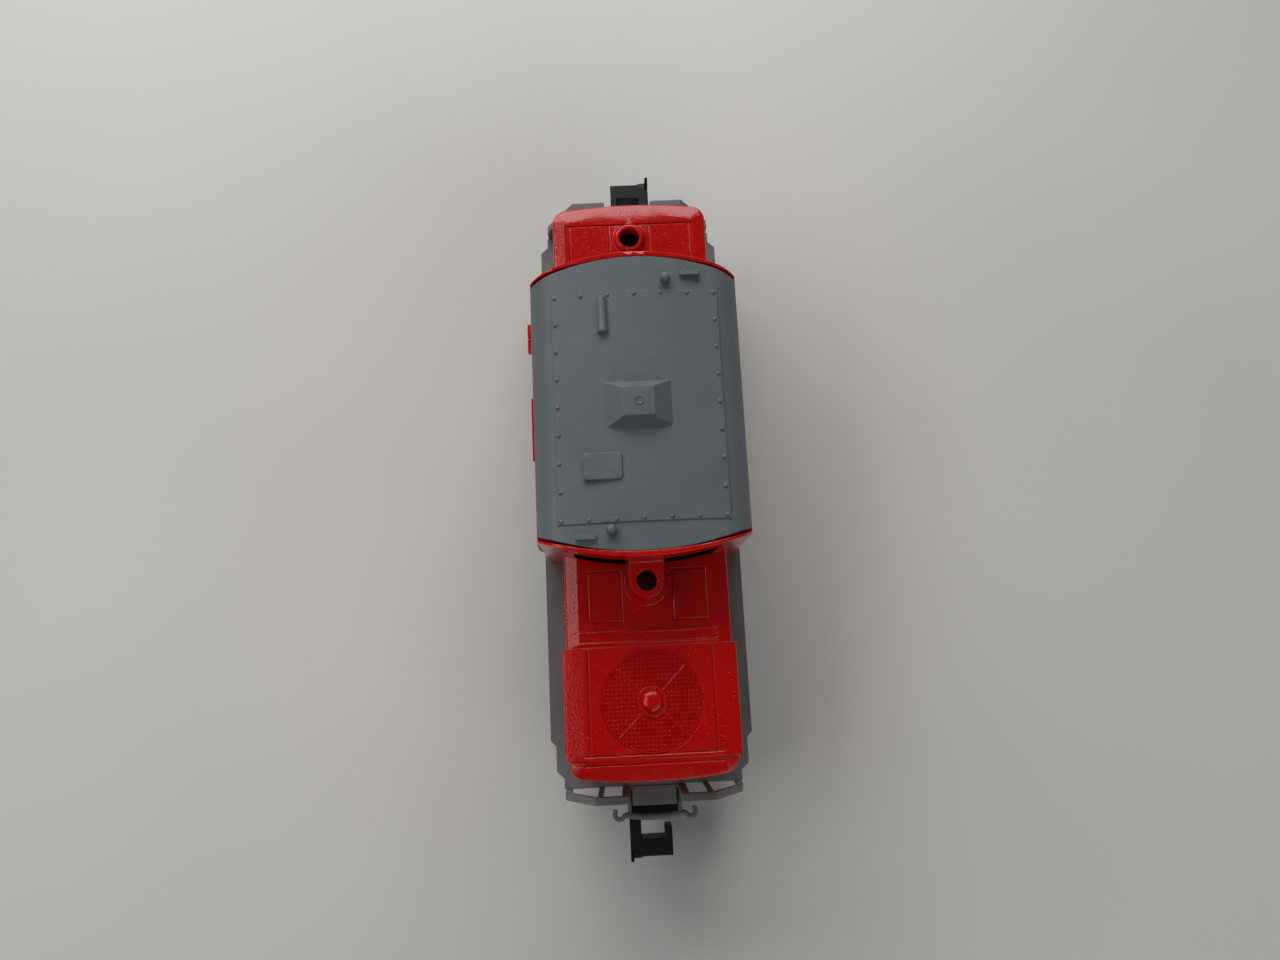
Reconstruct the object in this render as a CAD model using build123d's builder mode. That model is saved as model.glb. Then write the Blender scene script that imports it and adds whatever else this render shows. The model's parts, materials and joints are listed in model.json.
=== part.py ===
from build123d import *
import math
import os

# A 1:160 centre-cab shunting locomotive for 9 mm track, with three geared axles.
#
# +X runs towards the long hood, +Z up, and +Y to the left of someone looking along +X. The
# origin is midway between the coupler tips, on the plane that the wheel flanges stand on.
# Everything is in millimetres.

os.makedirs("parts", exist_ok=True)

# ---------------------------------------------------------------- driving dimensions
FLANGE_R = 4.0                     # wheel flange, which stands on the ground
TREAD_R = 3.1                      # running surface of the wheel
AXLE_Z = FLANGE_R
AXLE_R = 0.75
AXLE_X = (-12.75, 0.0, 12.75)
WHEEL_BACK_Y = 3.7                 # half the back-to-back distance
WHEEL_FACE_Y = 5.9

DECK_TOP = 8.75                    # running-board surface
DECK_BOTTOM = 7.85
DECK_HALF = 9.7                    # half width over the running boards
DECK_END_X = 28.1
POST_X = 28.4                      # outer face of the end railings' posts
BEAM_X = 28.95                     # outer edge of the end railings' top bars
RAIL_TOP = 14.8
RAIL_R = 0.22                      # round wire of the small handrails
SIDE_FRAME_Y = (6.5, 7.1)

CAB_X = -5.55                      # middle of the cab
CAB_HALF_LENGTH = 11.75            # to the end wall at its corners
CAB_BOW = 1.8                      # how much further out the end wall is at its middle
CAB_HALF = 9.25                    # half width over the cab sides
CAB_WALL = 0.75
EAVES_Z = 22.5
CROWN_Z = 24.75
CROWN_EDGE = (7.0, 24.2)           # where the shallow crown meets the rounded eaves
LIP = 0.48                         # thickness of the end wall's rim beside the roof

HOOD_HALF = 7.3
HOOD_TOP = 18.75
SHOULDER_WIDTH, SHOULDER_DROP = 1.2, 0.32    # gentle slope round the edge of a hood's top
HOOD_EDGE_R = 0.25
NOSE_X = 26.75                     # foremost point of both hoods
NOSE_BOW = 0.55
NOSE_CORNER_R = 1.35               # upright rounding between nose and hood sides
HOOD_WALL = 0.8
GROOVE = 0.14                      # width of the engraved panel lines
GROOVE_DEPTH = 0.12
RADIATOR_X = (15.2, 24.8)          # the wider radiator section of the long hood
RADIATOR_HALF = 7.65
FAN_X, FAN_R = 20.0, 4.4
STACK_X, STACK_TOP = 9.75, 21.9
STACK_BORE_R = 0.88
SHORT_STACK_X = -23.05
LAMP_Y, LAMP_Z, LAMP_R = 4.6, 12.4, 0.8

MODULE = 0.3                       # gear tooth module
PRESSURE_ANGLE = math.radians(20)
TOOTH_THINNING = 0.05              # taken off each tooth for backlash
GEAR_HALF_WIDTH = 0.65
AXLE_TEETH, IDLER_TEETH, WORM_WHEEL_TEETH = 16, 28, 24
PIN_R = 0.6
RUNNING_GAP = 0.04                 # radial clearance of a turning piece
SHAFT_R = 0.75
WORM_PITCH_R = 1.75
WORM_LENGTH = 6.0
WORM_WHEEL_LEAN = math.radians(15)  # off the vertical, over the end axle's gear

MOTOR_X = (-12.0, 3.2)
MOTOR_R = 4.7
CAN_WALL = 0.5
CHASSIS_HALF = 3.4                 # half width between the wheels
CHASSIS_BOTTOM = 2.4
WIDE_HALF = 6.2                    # half width of the chassis above the wheels
GEAR_SLOT = 0.85

SCREW_X = 20.2                     # screws that hold the running boards to the chassis
PIVOT_X = 24.5                     # coupler swing pin
TILT_X, TILT_Z = 27.0, 5.55        # coupler lift pin

# ---------------------------------------------------------------- places worked out from them
AXLE_GEAR_R = MODULE * AXLE_TEETH / 2
IDLER_R = MODULE * IDLER_TEETH / 2
WORM_WHEEL_R = MODULE * WORM_WHEEL_TEETH / 2
IDLER_X = (AXLE_X[2] - AXLE_X[1]) / 2
IDLER_Z = AXLE_Z + math.sqrt((AXLE_GEAR_R + IDLER_R) ** 2 - IDLER_X**2)
WORM_WHEEL_REACH = AXLE_GEAR_R + WORM_WHEEL_R
WORM_WHEEL_X = AXLE_X[2] + WORM_WHEEL_REACH * math.sin(WORM_WHEEL_LEAN)
WORM_WHEEL_Z = AXLE_Z + WORM_WHEEL_REACH * math.cos(WORM_WHEEL_LEAN)
SHAFT_Z = WORM_WHEEL_Z + WORM_WHEEL_R + WORM_PITCH_R
WORM_PITCH = math.pi * MODULE
BEARING_X = 18.6                   # worm end bearing


def save(part, label):
    """Labels a finished piece and writes it as its own STEP file."""
    part.label = label
    export_step(part, f"parts/{label}.step")


def block(x, y, z, mode=Mode.ADD):
    """A box between two X, two Y and two Z values, in either order."""
    middle = ((x[0] + x[1]) / 2, (y[0] + y[1]) / 2, (z[0] + z[1]) / 2)
    with Locations(middle):
        Box(abs(x[1] - x[0]), abs(y[1] - y[0]), abs(z[1] - z[0]), mode=mode)


def rod_x(radius, x, y, z, mode=Mode.ADD):
    """A cylinder along X between two X values."""
    with Locations(((x[0] + x[1]) / 2, y, z)):
        Cylinder(radius, abs(x[1] - x[0]), rotation=(0, 90, 0), mode=mode)


def rod_y(radius, x, y, z, mode=Mode.ADD):
    """A cylinder along Y between two Y values."""
    with Locations((x, (y[0] + y[1]) / 2, z)):
        Cylinder(radius, abs(y[1] - y[0]), rotation=(90, 0, 0), mode=mode)


def rod_z(radius, x, y, z, mode=Mode.ADD):
    """An upright cylinder between two Z values."""
    with Locations((x, y, (z[0] + z[1]) / 2)):
        Cylinder(radius, abs(z[1] - z[0]), mode=mode)


def groove(x, y, top):
    """An engraved line, given the X and Y extents of its floor and the surface height."""
    block(x, y, (top - GROOVE_DEPTH, top + 1), Mode.SUBTRACT)


def outlined_panel(x, y, top):
    """A rectangular panel marked by a groove all round it."""
    groove(x, y, top)
    low_x, low_y = min(x) + GROOVE, min(y) + GROOVE
    high_x, high_y = max(x) - GROOVE, max(y) - GROOVE
    block((low_x, high_x), (low_y, high_y), (top - 2 * GROOVE_DEPTH, top))


# ---------------------------------------------------------------- solids the shell is cut from
def cab_plan(end_inset, half, base):
    """Upright block with the cab's plan: straight sides and bowed ends."""
    reach = CAB_HALF_LENGTH - end_inset
    with BuildPart() as cab:
        with BuildSketch(Plane.XY.offset(base)):
            with BuildLine():
                for end in (1, -1):
                    ThreePointArc(
                        (CAB_X + end * reach, end * half),
                        (CAB_X + end * (reach + CAB_BOW), 0),
                        (CAB_X + end * reach, -end * half),
                    )
                    Line((CAB_X + end * reach, -end * half), (CAB_X - end * reach, -end * half))
            make_face()
        extrude(amount=CROWN_Z + 1 - base)
    return cab.part


def cab_arch(drop, half, base):
    """Long bar with the cab's cross-section: upright sides, rounded eaves, shallow crown."""
    eaves = Vector(half, EAVES_Z)
    edge = Vector(CROWN_EDGE[0], CROWN_EDGE[1] - drop)
    chord = edge - eaves
    bulge = (eaves + edge) / 2 + Vector(chord.Y, -chord.X) * 0.11
    with BuildPart() as arch:
        with BuildSketch(Plane.YZ.offset(-30)):
            with BuildLine():
                Polyline((-half, EAVES_Z), (-half, base), (half, base), (half, EAVES_Z))
                ThreePointArc(eaves, bulge, edge)
                ThreePointArc(edge, (0, CROWN_Z - drop), (-edge.X, edge.Y))
                ThreePointArc((-edge.X, edge.Y), (-bulge.X, bulge.Y), (-half, EAVES_Z))
            make_face()
        extrude(amount=60)
    return arch.part


def hood_block(sign, inner_x, inset, base):
    """A block from inner_x to the bowed nose of a hood, its upright nose corners rounded."""
    nose, side = NOSE_X - inset, HOOD_HALF - inset
    corner_x = sign * (nose - NOSE_BOW)
    with BuildPart() as hood:
        with BuildSketch(Plane.XY.offset(base)):
            with BuildLine():
                Polyline((corner_x, -side), (inner_x, -side), (inner_x, side), (corner_x, side))
                ThreePointArc((corner_x, side), (sign * nose, 0), (corner_x, -side))
            make_face()
        extrude(amount=HOOD_TOP - inset - base)
        corners = hood.edges().filter_by(Axis.Z).sort_by(Axis.X)
        fillet(corners[-2:] if sign > 0 else corners[:2], radius=NOSE_CORNER_R - inset)
    return hood.part


def eased_hood(sign, inner_x):
    """A hood whose top slopes gently to a small round at its sides and nose."""
    with BuildPart() as hood:
        add(hood_block(sign, inner_x, 0, DECK_TOP))
        top = hood.faces().sort_by(Axis.Z)[-1]
        rim = top.edges().sort_by(Axis.X)
        chamfer(
            rim[1:] if sign > 0 else rim[:-1],
            length=SHOULDER_WIDTH, length2=SHOULDER_DROP, reference=top,
        )
        low_rim = hood.edges().filter_by_position(
            Axis.Z, HOOD_TOP - SHOULDER_DROP - 0.01, HOOD_TOP - SHOULDER_DROP + 0.01
        ).sort_by(Axis.X)
        fillet(low_rim[1:] if sign > 0 else low_rim[:-1], radius=HOOD_EDGE_R)
    return hood.part


def cut_to(solid, envelope):
    """The part of a solid that lies inside an envelope."""
    with BuildPart() as inside:
        add(solid)
        add(envelope, mode=Mode.INTERSECT)
    return inside.part


INNER_HALF = CAB_HALF - CAB_WALL
ROOF_GAP = 0.03                    # between the roof and the rim it drops into
hoods = [eased_hood(-1, -10), eased_hood(1, 0)]
hood_hollows = [
    hood_block(-1, -10, HOOD_WALL, DECK_TOP - 1), hood_block(1, 0, HOOD_WALL, DECK_TOP - 1)
]
cab_outer = cut_to(cab_plan(0, CAB_HALF, DECK_TOP), cab_arch(0, CAB_HALF, DECK_TOP - 1))
cab_hollow = cab_plan(CAB_WALL, INNER_HALF, DECK_TOP - 1)
roof_opening = cab_plan(LIP, CAB_HALF + 1, EAVES_Z)

RADIATOR_TOP = HOOD_TOP + 0.08
with BuildPart() as radiator:
    block(RADIATOR_X, (-RADIATOR_HALF, RADIATOR_HALF), (DECK_TOP + 1.2, RADIATOR_TOP))
    top = radiator.faces().sort_by(Axis.Z)[-1]
    rim = top.edges().filter_by(Axis.X)
    chamfer(rim, length=1.9, length2=SHOULDER_DROP, reference=top)
    low_rim = radiator.edges().filter_by(Axis.X).group_by(Axis.Z)[-2]
    fillet(low_rim, radius=HOOD_EDGE_R)

# ---------------------------------------------------------------- body shell
END_WINDOW_Y, END_WINDOW_Z = (1.7, 6.2), (17.9, 22.0)
SIDE_WINDOWS_X = ((-15.6, -12.1), (-10.9, -6.3), (-5.3, -0.7), (1.5, 4.1))
SIDE_WINDOW_Z = (15.2, 21.0)
DOOR_X = (1.0, 4.6)
HATCH_X, HATCH_Y = (8.5, 13.1), (2.2, 5.3)
SHORT_PANEL_X, SHORT_PANEL_Y = (-24.6, -17.0), (1.85, 5.6)
RADIATOR_LINE_X, RADIATOR_LINE_Y = 24.3, 5.4
NOSE_LINE_X = 25.1
RIDGE_X = (13.9, 14.86)
FLAT_HALF = HOOD_HALF - SHOULDER_WIDTH    # half width of the flat hood top
LOUVRE_PITCH = 0.36

with BuildPart() as end_windows:
    add(cab_plan(0, CAB_HALF, END_WINDOW_Z[0]))
    block((-20, 10), (-10, 10), (END_WINDOW_Z[1], CROWN_Z + 2), Mode.SUBTRACT)
    block((-20, 10), (-END_WINDOW_Y[0], END_WINDOW_Y[0]), END_WINDOW_Z, Mode.SUBTRACT)
    for side in (-1, 1):
        block((-20, 10), (side * END_WINDOW_Y[1], side * 10), END_WINDOW_Z, Mode.SUBTRACT)

with BuildPart() as shell:
    for hood in hoods:
        add(hood)
    add(radiator.part)
    add(cab_outer)
    # exhaust stack joined to the cab end, with a flared foot and a rounded lip
    with BuildSketch(Plane.XY.offset(HOOD_TOP - 0.2)):
        with Locations((STACK_X, 0)):
            Circle(1.62)
        with Locations((STACK_X - 1.6, 0)):
            Rectangle(3.2, 3.24)
    extrude(amount=STACK_TOP - HOOD_TOP + 0.2, taper=2.5)
    with Locations((STACK_X, 0, HOOD_TOP + 0.2)):
        Cone(2.0, 1.55, 0.5)
    rod_z(STACK_BORE_R, STACK_X, 0, (HOOD_TOP, STACK_TOP + 1), Mode.SUBTRACT)
    lip = shell.edges().filter_by(GeomType.CIRCLE).filter_by_position(
        Axis.Z, STACK_TOP - 0.01, STACK_TOP + 0.01
    )
    fillet(lip.sort_by(SortBy.RADIUS)[-1], radius=0.4)
    # low conical boss on the short hood
    with Locations((SHORT_STACK_X, 0, HOOD_TOP + 0.15)):
        Cone(1.65, 1.25, 0.4)
    # ridges across the long hood
    for x in RIDGE_X:
        block((x - 0.09, x + 0.09), (-FLAT_HALF, FLAT_HALF), (18, HOOD_TOP + 0.1))
    # engraved panel lines on the hood tops
    groove((SHORT_PANEL_X[0], SHORT_PANEL_X[0] + GROOVE), (-FLAT_HALF, FLAT_HALF), HOOD_TOP)
    groove((NOSE_LINE_X, NOSE_LINE_X + GROOVE), (-FLAT_HALF, FLAT_HALF), HOOD_TOP)
    groove((RADIATOR_LINE_X, RADIATOR_LINE_X + GROOVE), (-FLAT_HALF, FLAT_HALF), RADIATOR_TOP)
    for side in (-1, 1):
        line = (side * RADIATOR_LINE_Y, side * (RADIATOR_LINE_Y + GROOVE))
        groove((RADIATOR_X[0] + 0.2, RADIATOR_LINE_X), line, RADIATOR_TOP)
        for y in SHORT_PANEL_Y:
            groove(SHORT_PANEL_X, (side * y, side * (y + GROOVE)), HOOD_TOP)
        outlined_panel(HATCH_X, (side * HATCH_Y[0], side * HATCH_Y[1]), HOOD_TOP)
        # service doors and louvres along the hood sides
        for x in (-24.5, -21.9, 8.0, 10.8):
            block((x, x + 2.5), (side * 7, side * 7.42), (9.6, 15.2))
        for step in range(14):
            x = 8.4 + LOUVRE_PITCH * step
            block((x, x + LOUVRE_PITCH / 2), (side * 7, side * 7.48 - 0.08), (15.6, 17.5))
        for step in range(9):
            z = 10.8 + 0.74 * step
            for x in ((15.7, 19.7), (20.2, 24.3)):
                block(x, (side * 7.4, side * 7.8), (z, z + 0.42))
        # cab door
        block(DOOR_X, (side * 9, side * 9.38), (9.2, 14.5))
    # vents and a gutter strip high on one cab side
    for x in (-13.8, -12.4):
        block((x, x + 1.3), (-9.65, -9), (21.15, 21.75))
    block((-6.9, -1.2), (-9.5, -9), (21.2, 21.6))
    # hollows
    for hollow in hood_hollows:
        add(hollow, mode=Mode.SUBTRACT)
    add(cab_hollow, mode=Mode.SUBTRACT)
    add(roof_opening, mode=Mode.SUBTRACT)
    # closed foot of the stack's bore, under the hood top
    rod_z(STACK_BORE_R + 0.45, STACK_X, 0, (17.35, 18.2))
    rod_z(STACK_BORE_R, STACK_X, 0, (17.55, HOOD_TOP + 0.5), Mode.SUBTRACT)
    rod_z(0.95, SHORT_STACK_X, 0, (HOOD_TOP - 1.5, HOOD_TOP + 1), Mode.SUBTRACT)
    # windows, fan seat and headlamp holes
    add(end_windows.part, mode=Mode.SUBTRACT)
    for side in (-1, 1):
        for x in SIDE_WINDOWS_X:
            block(x, (side * 7, side * 9.6), SIDE_WINDOW_Z, Mode.SUBTRACT)
        rod_x(LAMP_R, (-28, 28), side * LAMP_Y, LAMP_Z, Mode.SUBTRACT)
    rod_z(FAN_R + ROOF_GAP, FAN_X, 0, (HOOD_TOP - 0.4, HOOD_TOP + 0.5), Mode.SUBTRACT)
save(shell.part, "body_shell")

# ---------------------------------------------------------------- cab roof
roof_outer = cut_to(
    cab_plan(LIP + ROOF_GAP, CAB_HALF, EAVES_Z), cab_arch(0, CAB_HALF, EAVES_Z - 1)
)
roof_hollow = cut_to(
    cab_plan(LIP + 0.8, INNER_HALF, EAVES_Z - 1), cab_arch(0.7, INNER_HALF, EAVES_Z - 2)
)
PANEL_X, PANEL_Y = (-15.4, 5.05), 7.35
PANEL_RISE = 0.1
RIVET_PITCH = 2.48
RIVET_COLUMN_X = [-5.18 + RIVET_PITCH * step for step in range(-4, 5)]
RIVET_ROW_Y = [2.33 * step for step in range(-2, 3)]
VENT_X = -5.08


def crown_height(y):
    """Height of the roof at a distance y from the centre line, on the shallow crown."""
    return CROWN_Z - (CROWN_Z - CROWN_EDGE[1]) * (y / CROWN_EDGE[0]) ** 2


with BuildPart() as hatch:
    block((-0.95, 1.4), (-5.0, -1.65), (24.2, 25.0))
    fillet(hatch.edges().filter_by(Axis.Z), radius=0.35)
    fillet(hatch.edges().group_by(Axis.Z)[-1], radius=0.2)

with BuildPart() as roof:
    add(roof_outer)
    add(roof_hollow, mode=Mode.SUBTRACT)
    # riveted sheet over the middle of the roof
    panel_edge = crown_height(PANEL_Y) + PANEL_RISE
    with BuildSketch(Plane.YZ.offset(PANEL_X[0])):
        with BuildLine():
            ThreePointArc((-PANEL_Y, panel_edge), (0, CROWN_Z + PANEL_RISE), (PANEL_Y, panel_edge))
            ThreePointArc((PANEL_Y, panel_edge - 0.4), (0, CROWN_Z - 0.3), (-PANEL_Y, panel_edge - 0.4))
            Line((-PANEL_Y, panel_edge - 0.4), (-PANEL_Y, panel_edge))
            Line((PANEL_Y, panel_edge), (PANEL_Y, panel_edge - 0.4))
        make_face()
    extrude(amount=PANEL_X[1] - PANEL_X[0])
    rivets = [(x, side * CROWN_EDGE[0]) for x in RIVET_COLUMN_X for side in (-1, 1)]
    rivets += [(x, y) for x in (RIVET_COLUMN_X[0], RIVET_COLUMN_X[-1]) for y in RIVET_ROW_Y]
    for x, y in rivets:
        with Locations((x, y, crown_height(y) + 0.06)):
            Sphere(0.2)
    # pyramid ventilator with a small ring on its flat top
    with BuildSketch(Plane.XY.offset(CROWN_Z - 0.15)):
        with Locations((VENT_X, 0)):
            Rectangle(4.15, 5.95)
    with BuildSketch(Plane.XY.offset(CROWN_Z + 1.1)):
        with Locations((VENT_X - 0.05, 0)):
            Rectangle(2.5, 2.6)
    loft()
    rod_z(0.36, VENT_X - 0.05, 0, (CROWN_Z + 1, CROWN_Z + 1.2))
    # hatch, horn, lamp stubs and grab bars
    add(hatch.part)
    rod_x(0.47, (-14.8, -11.6), -2.85, 24.85)
    for x, side in ((-16.35, 1), (5.7, -1)):
        rod_z(0.42, x, side * 2.8, (24.2, 25.1))
        with Locations((x, side * 2.8, 25.1)):
            Sphere(0.46)
        bar_x = x - side * 0.5
        block((bar_x - 0.27, bar_x + 0.27), (side * 4.1, side * 5.9), (23.9, 24.95))
save(roof.part, "cab_roof")

# ---------------------------------------------------------------- cab glazing
GLASS = 0.45
GLASS_GAP = 0.03
glass_half = INNER_HALF - GLASS_GAP
glass_outer = cab_plan(CAB_WALL + GLASS_GAP, glass_half, 14.4)
glass_inner = cab_plan(CAB_WALL + GLASS_GAP + GLASS, glass_half - GLASS, 14)

with BuildPart() as glazing:
    add(glass_outer)
    add(glass_inner, mode=Mode.SUBTRACT)
    block((-25, 15), (-12, 12), (22.2, 30), Mode.SUBTRACT)
    for x in ((-25, -16.2), (5.2, 15)):
        block(x, (-9, 9), (14, 18.3), Mode.SUBTRACT)
save(glazing.part, "cab_glazing")

# ---------------------------------------------------------------- radiator fan grille
with BuildPart() as fan:
    rod_z(FAN_R, FAN_X, 0, (HOOD_TOP - 0.38, HOOD_TOP + 0.2))
    rod_z(FAN_R - 0.2, FAN_X, 0, (HOOD_TOP + 0.03, HOOD_TOP + 0.3), Mode.SUBTRACT)
    rod_z(1.4, FAN_X, 0, (HOOD_TOP - 0.1, HOOD_TOP + 0.1))
    with Locations((FAN_X, 0, HOOD_TOP - 1.6)):
        Sphere(2.15)
    block((FAN_X - 3, FAN_X + 3), (-3, 3), (HOOD_TOP - 5, HOOD_TOP - 0.38), Mode.SUBTRACT)
save(fan.part, "fan_grille")

# ---------------------------------------------------------------- light guides and lamps
with BuildPart() as guides:
    for end in (-1, 1):
        block((end * 24.2, end * 24.9), (-5.4, 5.4), (LAMP_Z - 0.6, LAMP_Z + 0.6))
        for side in (-1, 1):
            rod_x(LAMP_R - 0.05, (end * 24.8, end * 26.45), side * LAMP_Y, LAMP_Z)
            rod_x(LAMP_R - 0.2, (end * 26.4, end * 26.55), side * LAMP_Y, LAMP_Z)
save(guides.part, "light_guides")

with BuildPart() as lamps:
    for end in (-1, 1):
        rod_x(0.75, (end * 23.2, end * 24.1), 0, LAMP_Z)
        block((end * 22.6, end * 23.2), (-1.2, 1.2), (LAMP_Z - 1, LAMP_Z + 1))
save(lamps.part, "lamps")

# ---------------------------------------------------------------- running boards and frame
with BuildPart() as deck:
    with BuildSketch(Plane.XY.offset(DECK_BOTTOM)):
        with BuildLine():
            corner = [
                (23.6, DECK_HALF), (24.1, 9.2), (26.45, 9.2), (27.1, 8.5), (DECK_END_X, 8.5)
            ]
            far = [(x, -y) for x, y in reversed(corner)]
            near = [(-x, -y) for x, y in corner]
            last = [(-x, y) for x, y in reversed(corner)]
            Polyline(*corner, *far, *near, *last, close=True)
        make_face()
    extrude(amount=DECK_TOP - DECK_BOTTOM)
    block((-17.6, 17.6), (-6.3, 6.3), (DECK_BOTTOM - 1, DECK_TOP + 1), Mode.SUBTRACT)
    for side in (-1, 1):
        # sill under the edge, and the side frame with its axle boxes, springs and steps
        block((-23.4, 23.4), (side * 9.1, side * 9.6), (6.9, 8.0))
        block((-22, 22), (side * SIDE_FRAME_Y[0], side * SIDE_FRAME_Y[1]), (4.6, 8.0))
        for axle_x in AXLE_X:
            block((axle_x - 1.5, axle_x + 1.5), (side * 6.5, side * 7.1), (2.4, 4.8))
            block((axle_x - 1.15, axle_x + 1.15), (side * 7.0, side * 7.9), (2.9, 5.2))
            rod_y(0.75, axle_x, (side * 7.8, side * 8.25), 4.0)
            for leaf in range(3):
                reach = 3.4 - 0.8 * leaf
                block(
                    (axle_x - reach, axle_x + reach), (side * 7.0, side * 7.55),
                    (6.5 - 0.42 * leaf, 6.85 - 0.42 * leaf),
                )
        for x in (-6.4, 6.4):
            block((x - 2.1, x + 2.1), (side * 7.0, side * 8.9), (3.2, 6.4))
            block((x - 1.8, x + 1.8), (side * 7.0, side * 8.6), (6.2, 8.0))
        for end in (-1, 1):
            # corner steps hang under the end platforms
            block((end * 24.9, end * 25.3), (side * 7.2, side * 9.0), (2.6, 8.0))
            block((end * 27.3, end * 27.7), (side * 7.2, side * 8.4), (2.6, 8.0))
            for z in (2.6, 5.2):
                block((end * 24.9, end * 27.7), (side * 7.2, side * 8.4), (z, z + 0.4))
    block((-22, -17.6), (-7, 7), (6.6, 8.0))
    block((17.6, 22), (-7, 7), (6.6, 8.0))
    # clearance for the worm wheel, and holes for the coupler pins and the screws
    block((17, 18.5), (-GEAR_SLOT, GEAR_SLOT), (6, DECK_TOP + 1), Mode.SUBTRACT)
    for end in (-1, 1):
        rod_z(0.6, end * PIVOT_X, 0, (DECK_BOTTOM - 1, DECK_TOP + 1), Mode.SUBTRACT)
        rod_z(0.6, end * SCREW_X, 0, (6, DECK_TOP + 1), Mode.SUBTRACT)
save(deck.part, "walkway_frame")

# ---------------------------------------------------------------- end railings and guard bars
BEAM_INNER_X = 27.7
BEAM_BOTTOM = 4.6
COUPLER_GAP = 3.6                  # half width of the opening for the coupler
COUPLER_GAP_TOP = 7.6
POSTS_Y = ((2.3, 3.0), (4.7, 5.2), (7.75, 8.35))
POST_HEAD_Z = (14.6, 14.6, 10.2)
BAR_CORNER = (5.45, 8.35)          # where the top bar turns down, and where it ends
BAR_END_Z = 9.9
BAR_DEPTH = 0.5

for name, end in (("front", 1), ("rear", -1)):
    with BuildPart() as railing:
        # buffer beam under the deck, open for the coupler
        beam_x = (end * BEAM_INNER_X, end * DECK_END_X)
        block(beam_x, (-8.5, 8.5), (BEAM_BOTTOM, DECK_BOTTOM))
        gap_x = (beam_x[0] - end, beam_x[1] + end)
        gap_z = (BEAM_BOTTOM - 1, COUPLER_GAP_TOP)
        block(gap_x, (-COUPLER_GAP, COUPLER_GAP), gap_z, Mode.SUBTRACT)
        # posts on the end of the deck, and the crosspiece between the middle two
        post_x = (end * DECK_END_X, end * POST_X)
        block(post_x, (-3, 3), (COUPLER_GAP_TOP, DECK_TOP))
        for side in (-1, 1):
            for post_y, head in zip(POSTS_Y, POST_HEAD_Z):
                block(post_x, (side * post_y[0], side * post_y[1]), (8.0, head))
        # wide top bars that slope down to the corners
        with BuildSketch(Plane.YZ.offset(min(end * (POST_X - 0.15), end * BEAM_X))):
            for side in (-1, 1):
                inner, corner, tip = side * POSTS_Y[0][0], side * BAR_CORNER[0], side * BAR_CORNER[1]
                with BuildLine():
                    Polyline(
                        (inner, RAIL_TOP - BAR_DEPTH), (inner, RAIL_TOP), (corner, RAIL_TOP),
                        (tip, BAR_END_Z), (tip, BAR_END_Z - 0.75),
                        (corner - side * 0.3, RAIL_TOP - BAR_DEPTH), close=True,
                    )
                make_face()
        extrude(amount=BEAM_X - POST_X + 0.15)
        # bridge plate over the coupler
        block((end * DECK_END_X, end * 29.9), (-2.1, 2.1), (DECK_TOP - 0.25, DECK_TOP + 0.1))
    save(railing.part, f"end_railing_{name}")

    with BuildPart() as guard:
        with BuildSketch(Plane.XY.offset(7.75)):
            with BuildLine():
                ThreePointArc((end * 30.45, -2.65), (end * 30.75, 0), (end * 30.45, 2.65))
                Line((end * 30.45, 2.65), (end * 30.95, 2.65))
                ThreePointArc((end * 30.95, 2.65), (end * 31.25, 0), (end * 30.95, -2.65))
                Line((end * 30.95, -2.65), (end * 30.45, -2.65))
            make_face()
            for side in (-1, 1):
                # curled ends
                with BuildLine():
                    ThreePointArc(
                        (end * 30.45, side * 2.65), (end * 30.83, side * 2.9),
                        (end * 30.95, side * 3.1),
                    )
                    ThreePointArc(
                        (end * 30.95, side * 3.1), (end * 30.72, side * 3.42),
                        (end * 30.1, side * 3.45),
                    )
                    ThreePointArc(
                        (end * 30.1, side * 3.45), (end * 29.95, side * 3.72),
                        (end * 30.1, side * 4.0),
                    )
                    ThreePointArc(
                        (end * 30.1, side * 4.0), (end * 30.98, side * 3.95),
                        (end * 31.4, side * 3.15),
                    )
                    ThreePointArc(
                        (end * 31.4, side * 3.15), (end * 31.28, side * 2.8),
                        (end * 30.95, side * 2.65),
                    )
                    Line((end * 30.95, side * 2.65), (end * 30.45, side * 2.65))
                make_face()
        extrude(amount=0.55)
        for side in (-1, 1):
            block((end * POST_X, end * 30.8), (side * 2.2, side * 2.6), (7.75, 8.2))
    save(guard.part, f"guard_bar_{name}")

# ---------------------------------------------------------------- cab handrails
HANDRAIL_X = (0.4, 5.2, -15.9, -11.7)
HANDRAIL_Y = 9.88

with BuildPart() as handrails:
    for side in (-1, 1):
        for x in HANDRAIL_X:
            rod_z(RAIL_R, x, side * HANDRAIL_Y, (9.4, 13.8))
            for z in (9.8, 13.4):
                rod_y(RAIL_R - 0.02, x, (side * CAB_HALF, side * HANDRAIL_Y), z)
save(handrails.part, "cab_handrails")

# ---------------------------------------------------------------- chassis
MOTOR_SEAT_R = MOTOR_R + 0.03
WEIGHT_BASE = 13.0                 # top of the chassis in the hoods
BUSH_HALF = 0.95                   # half length and height of a square axle bearing
BUSH_GAP = 0.03

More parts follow.
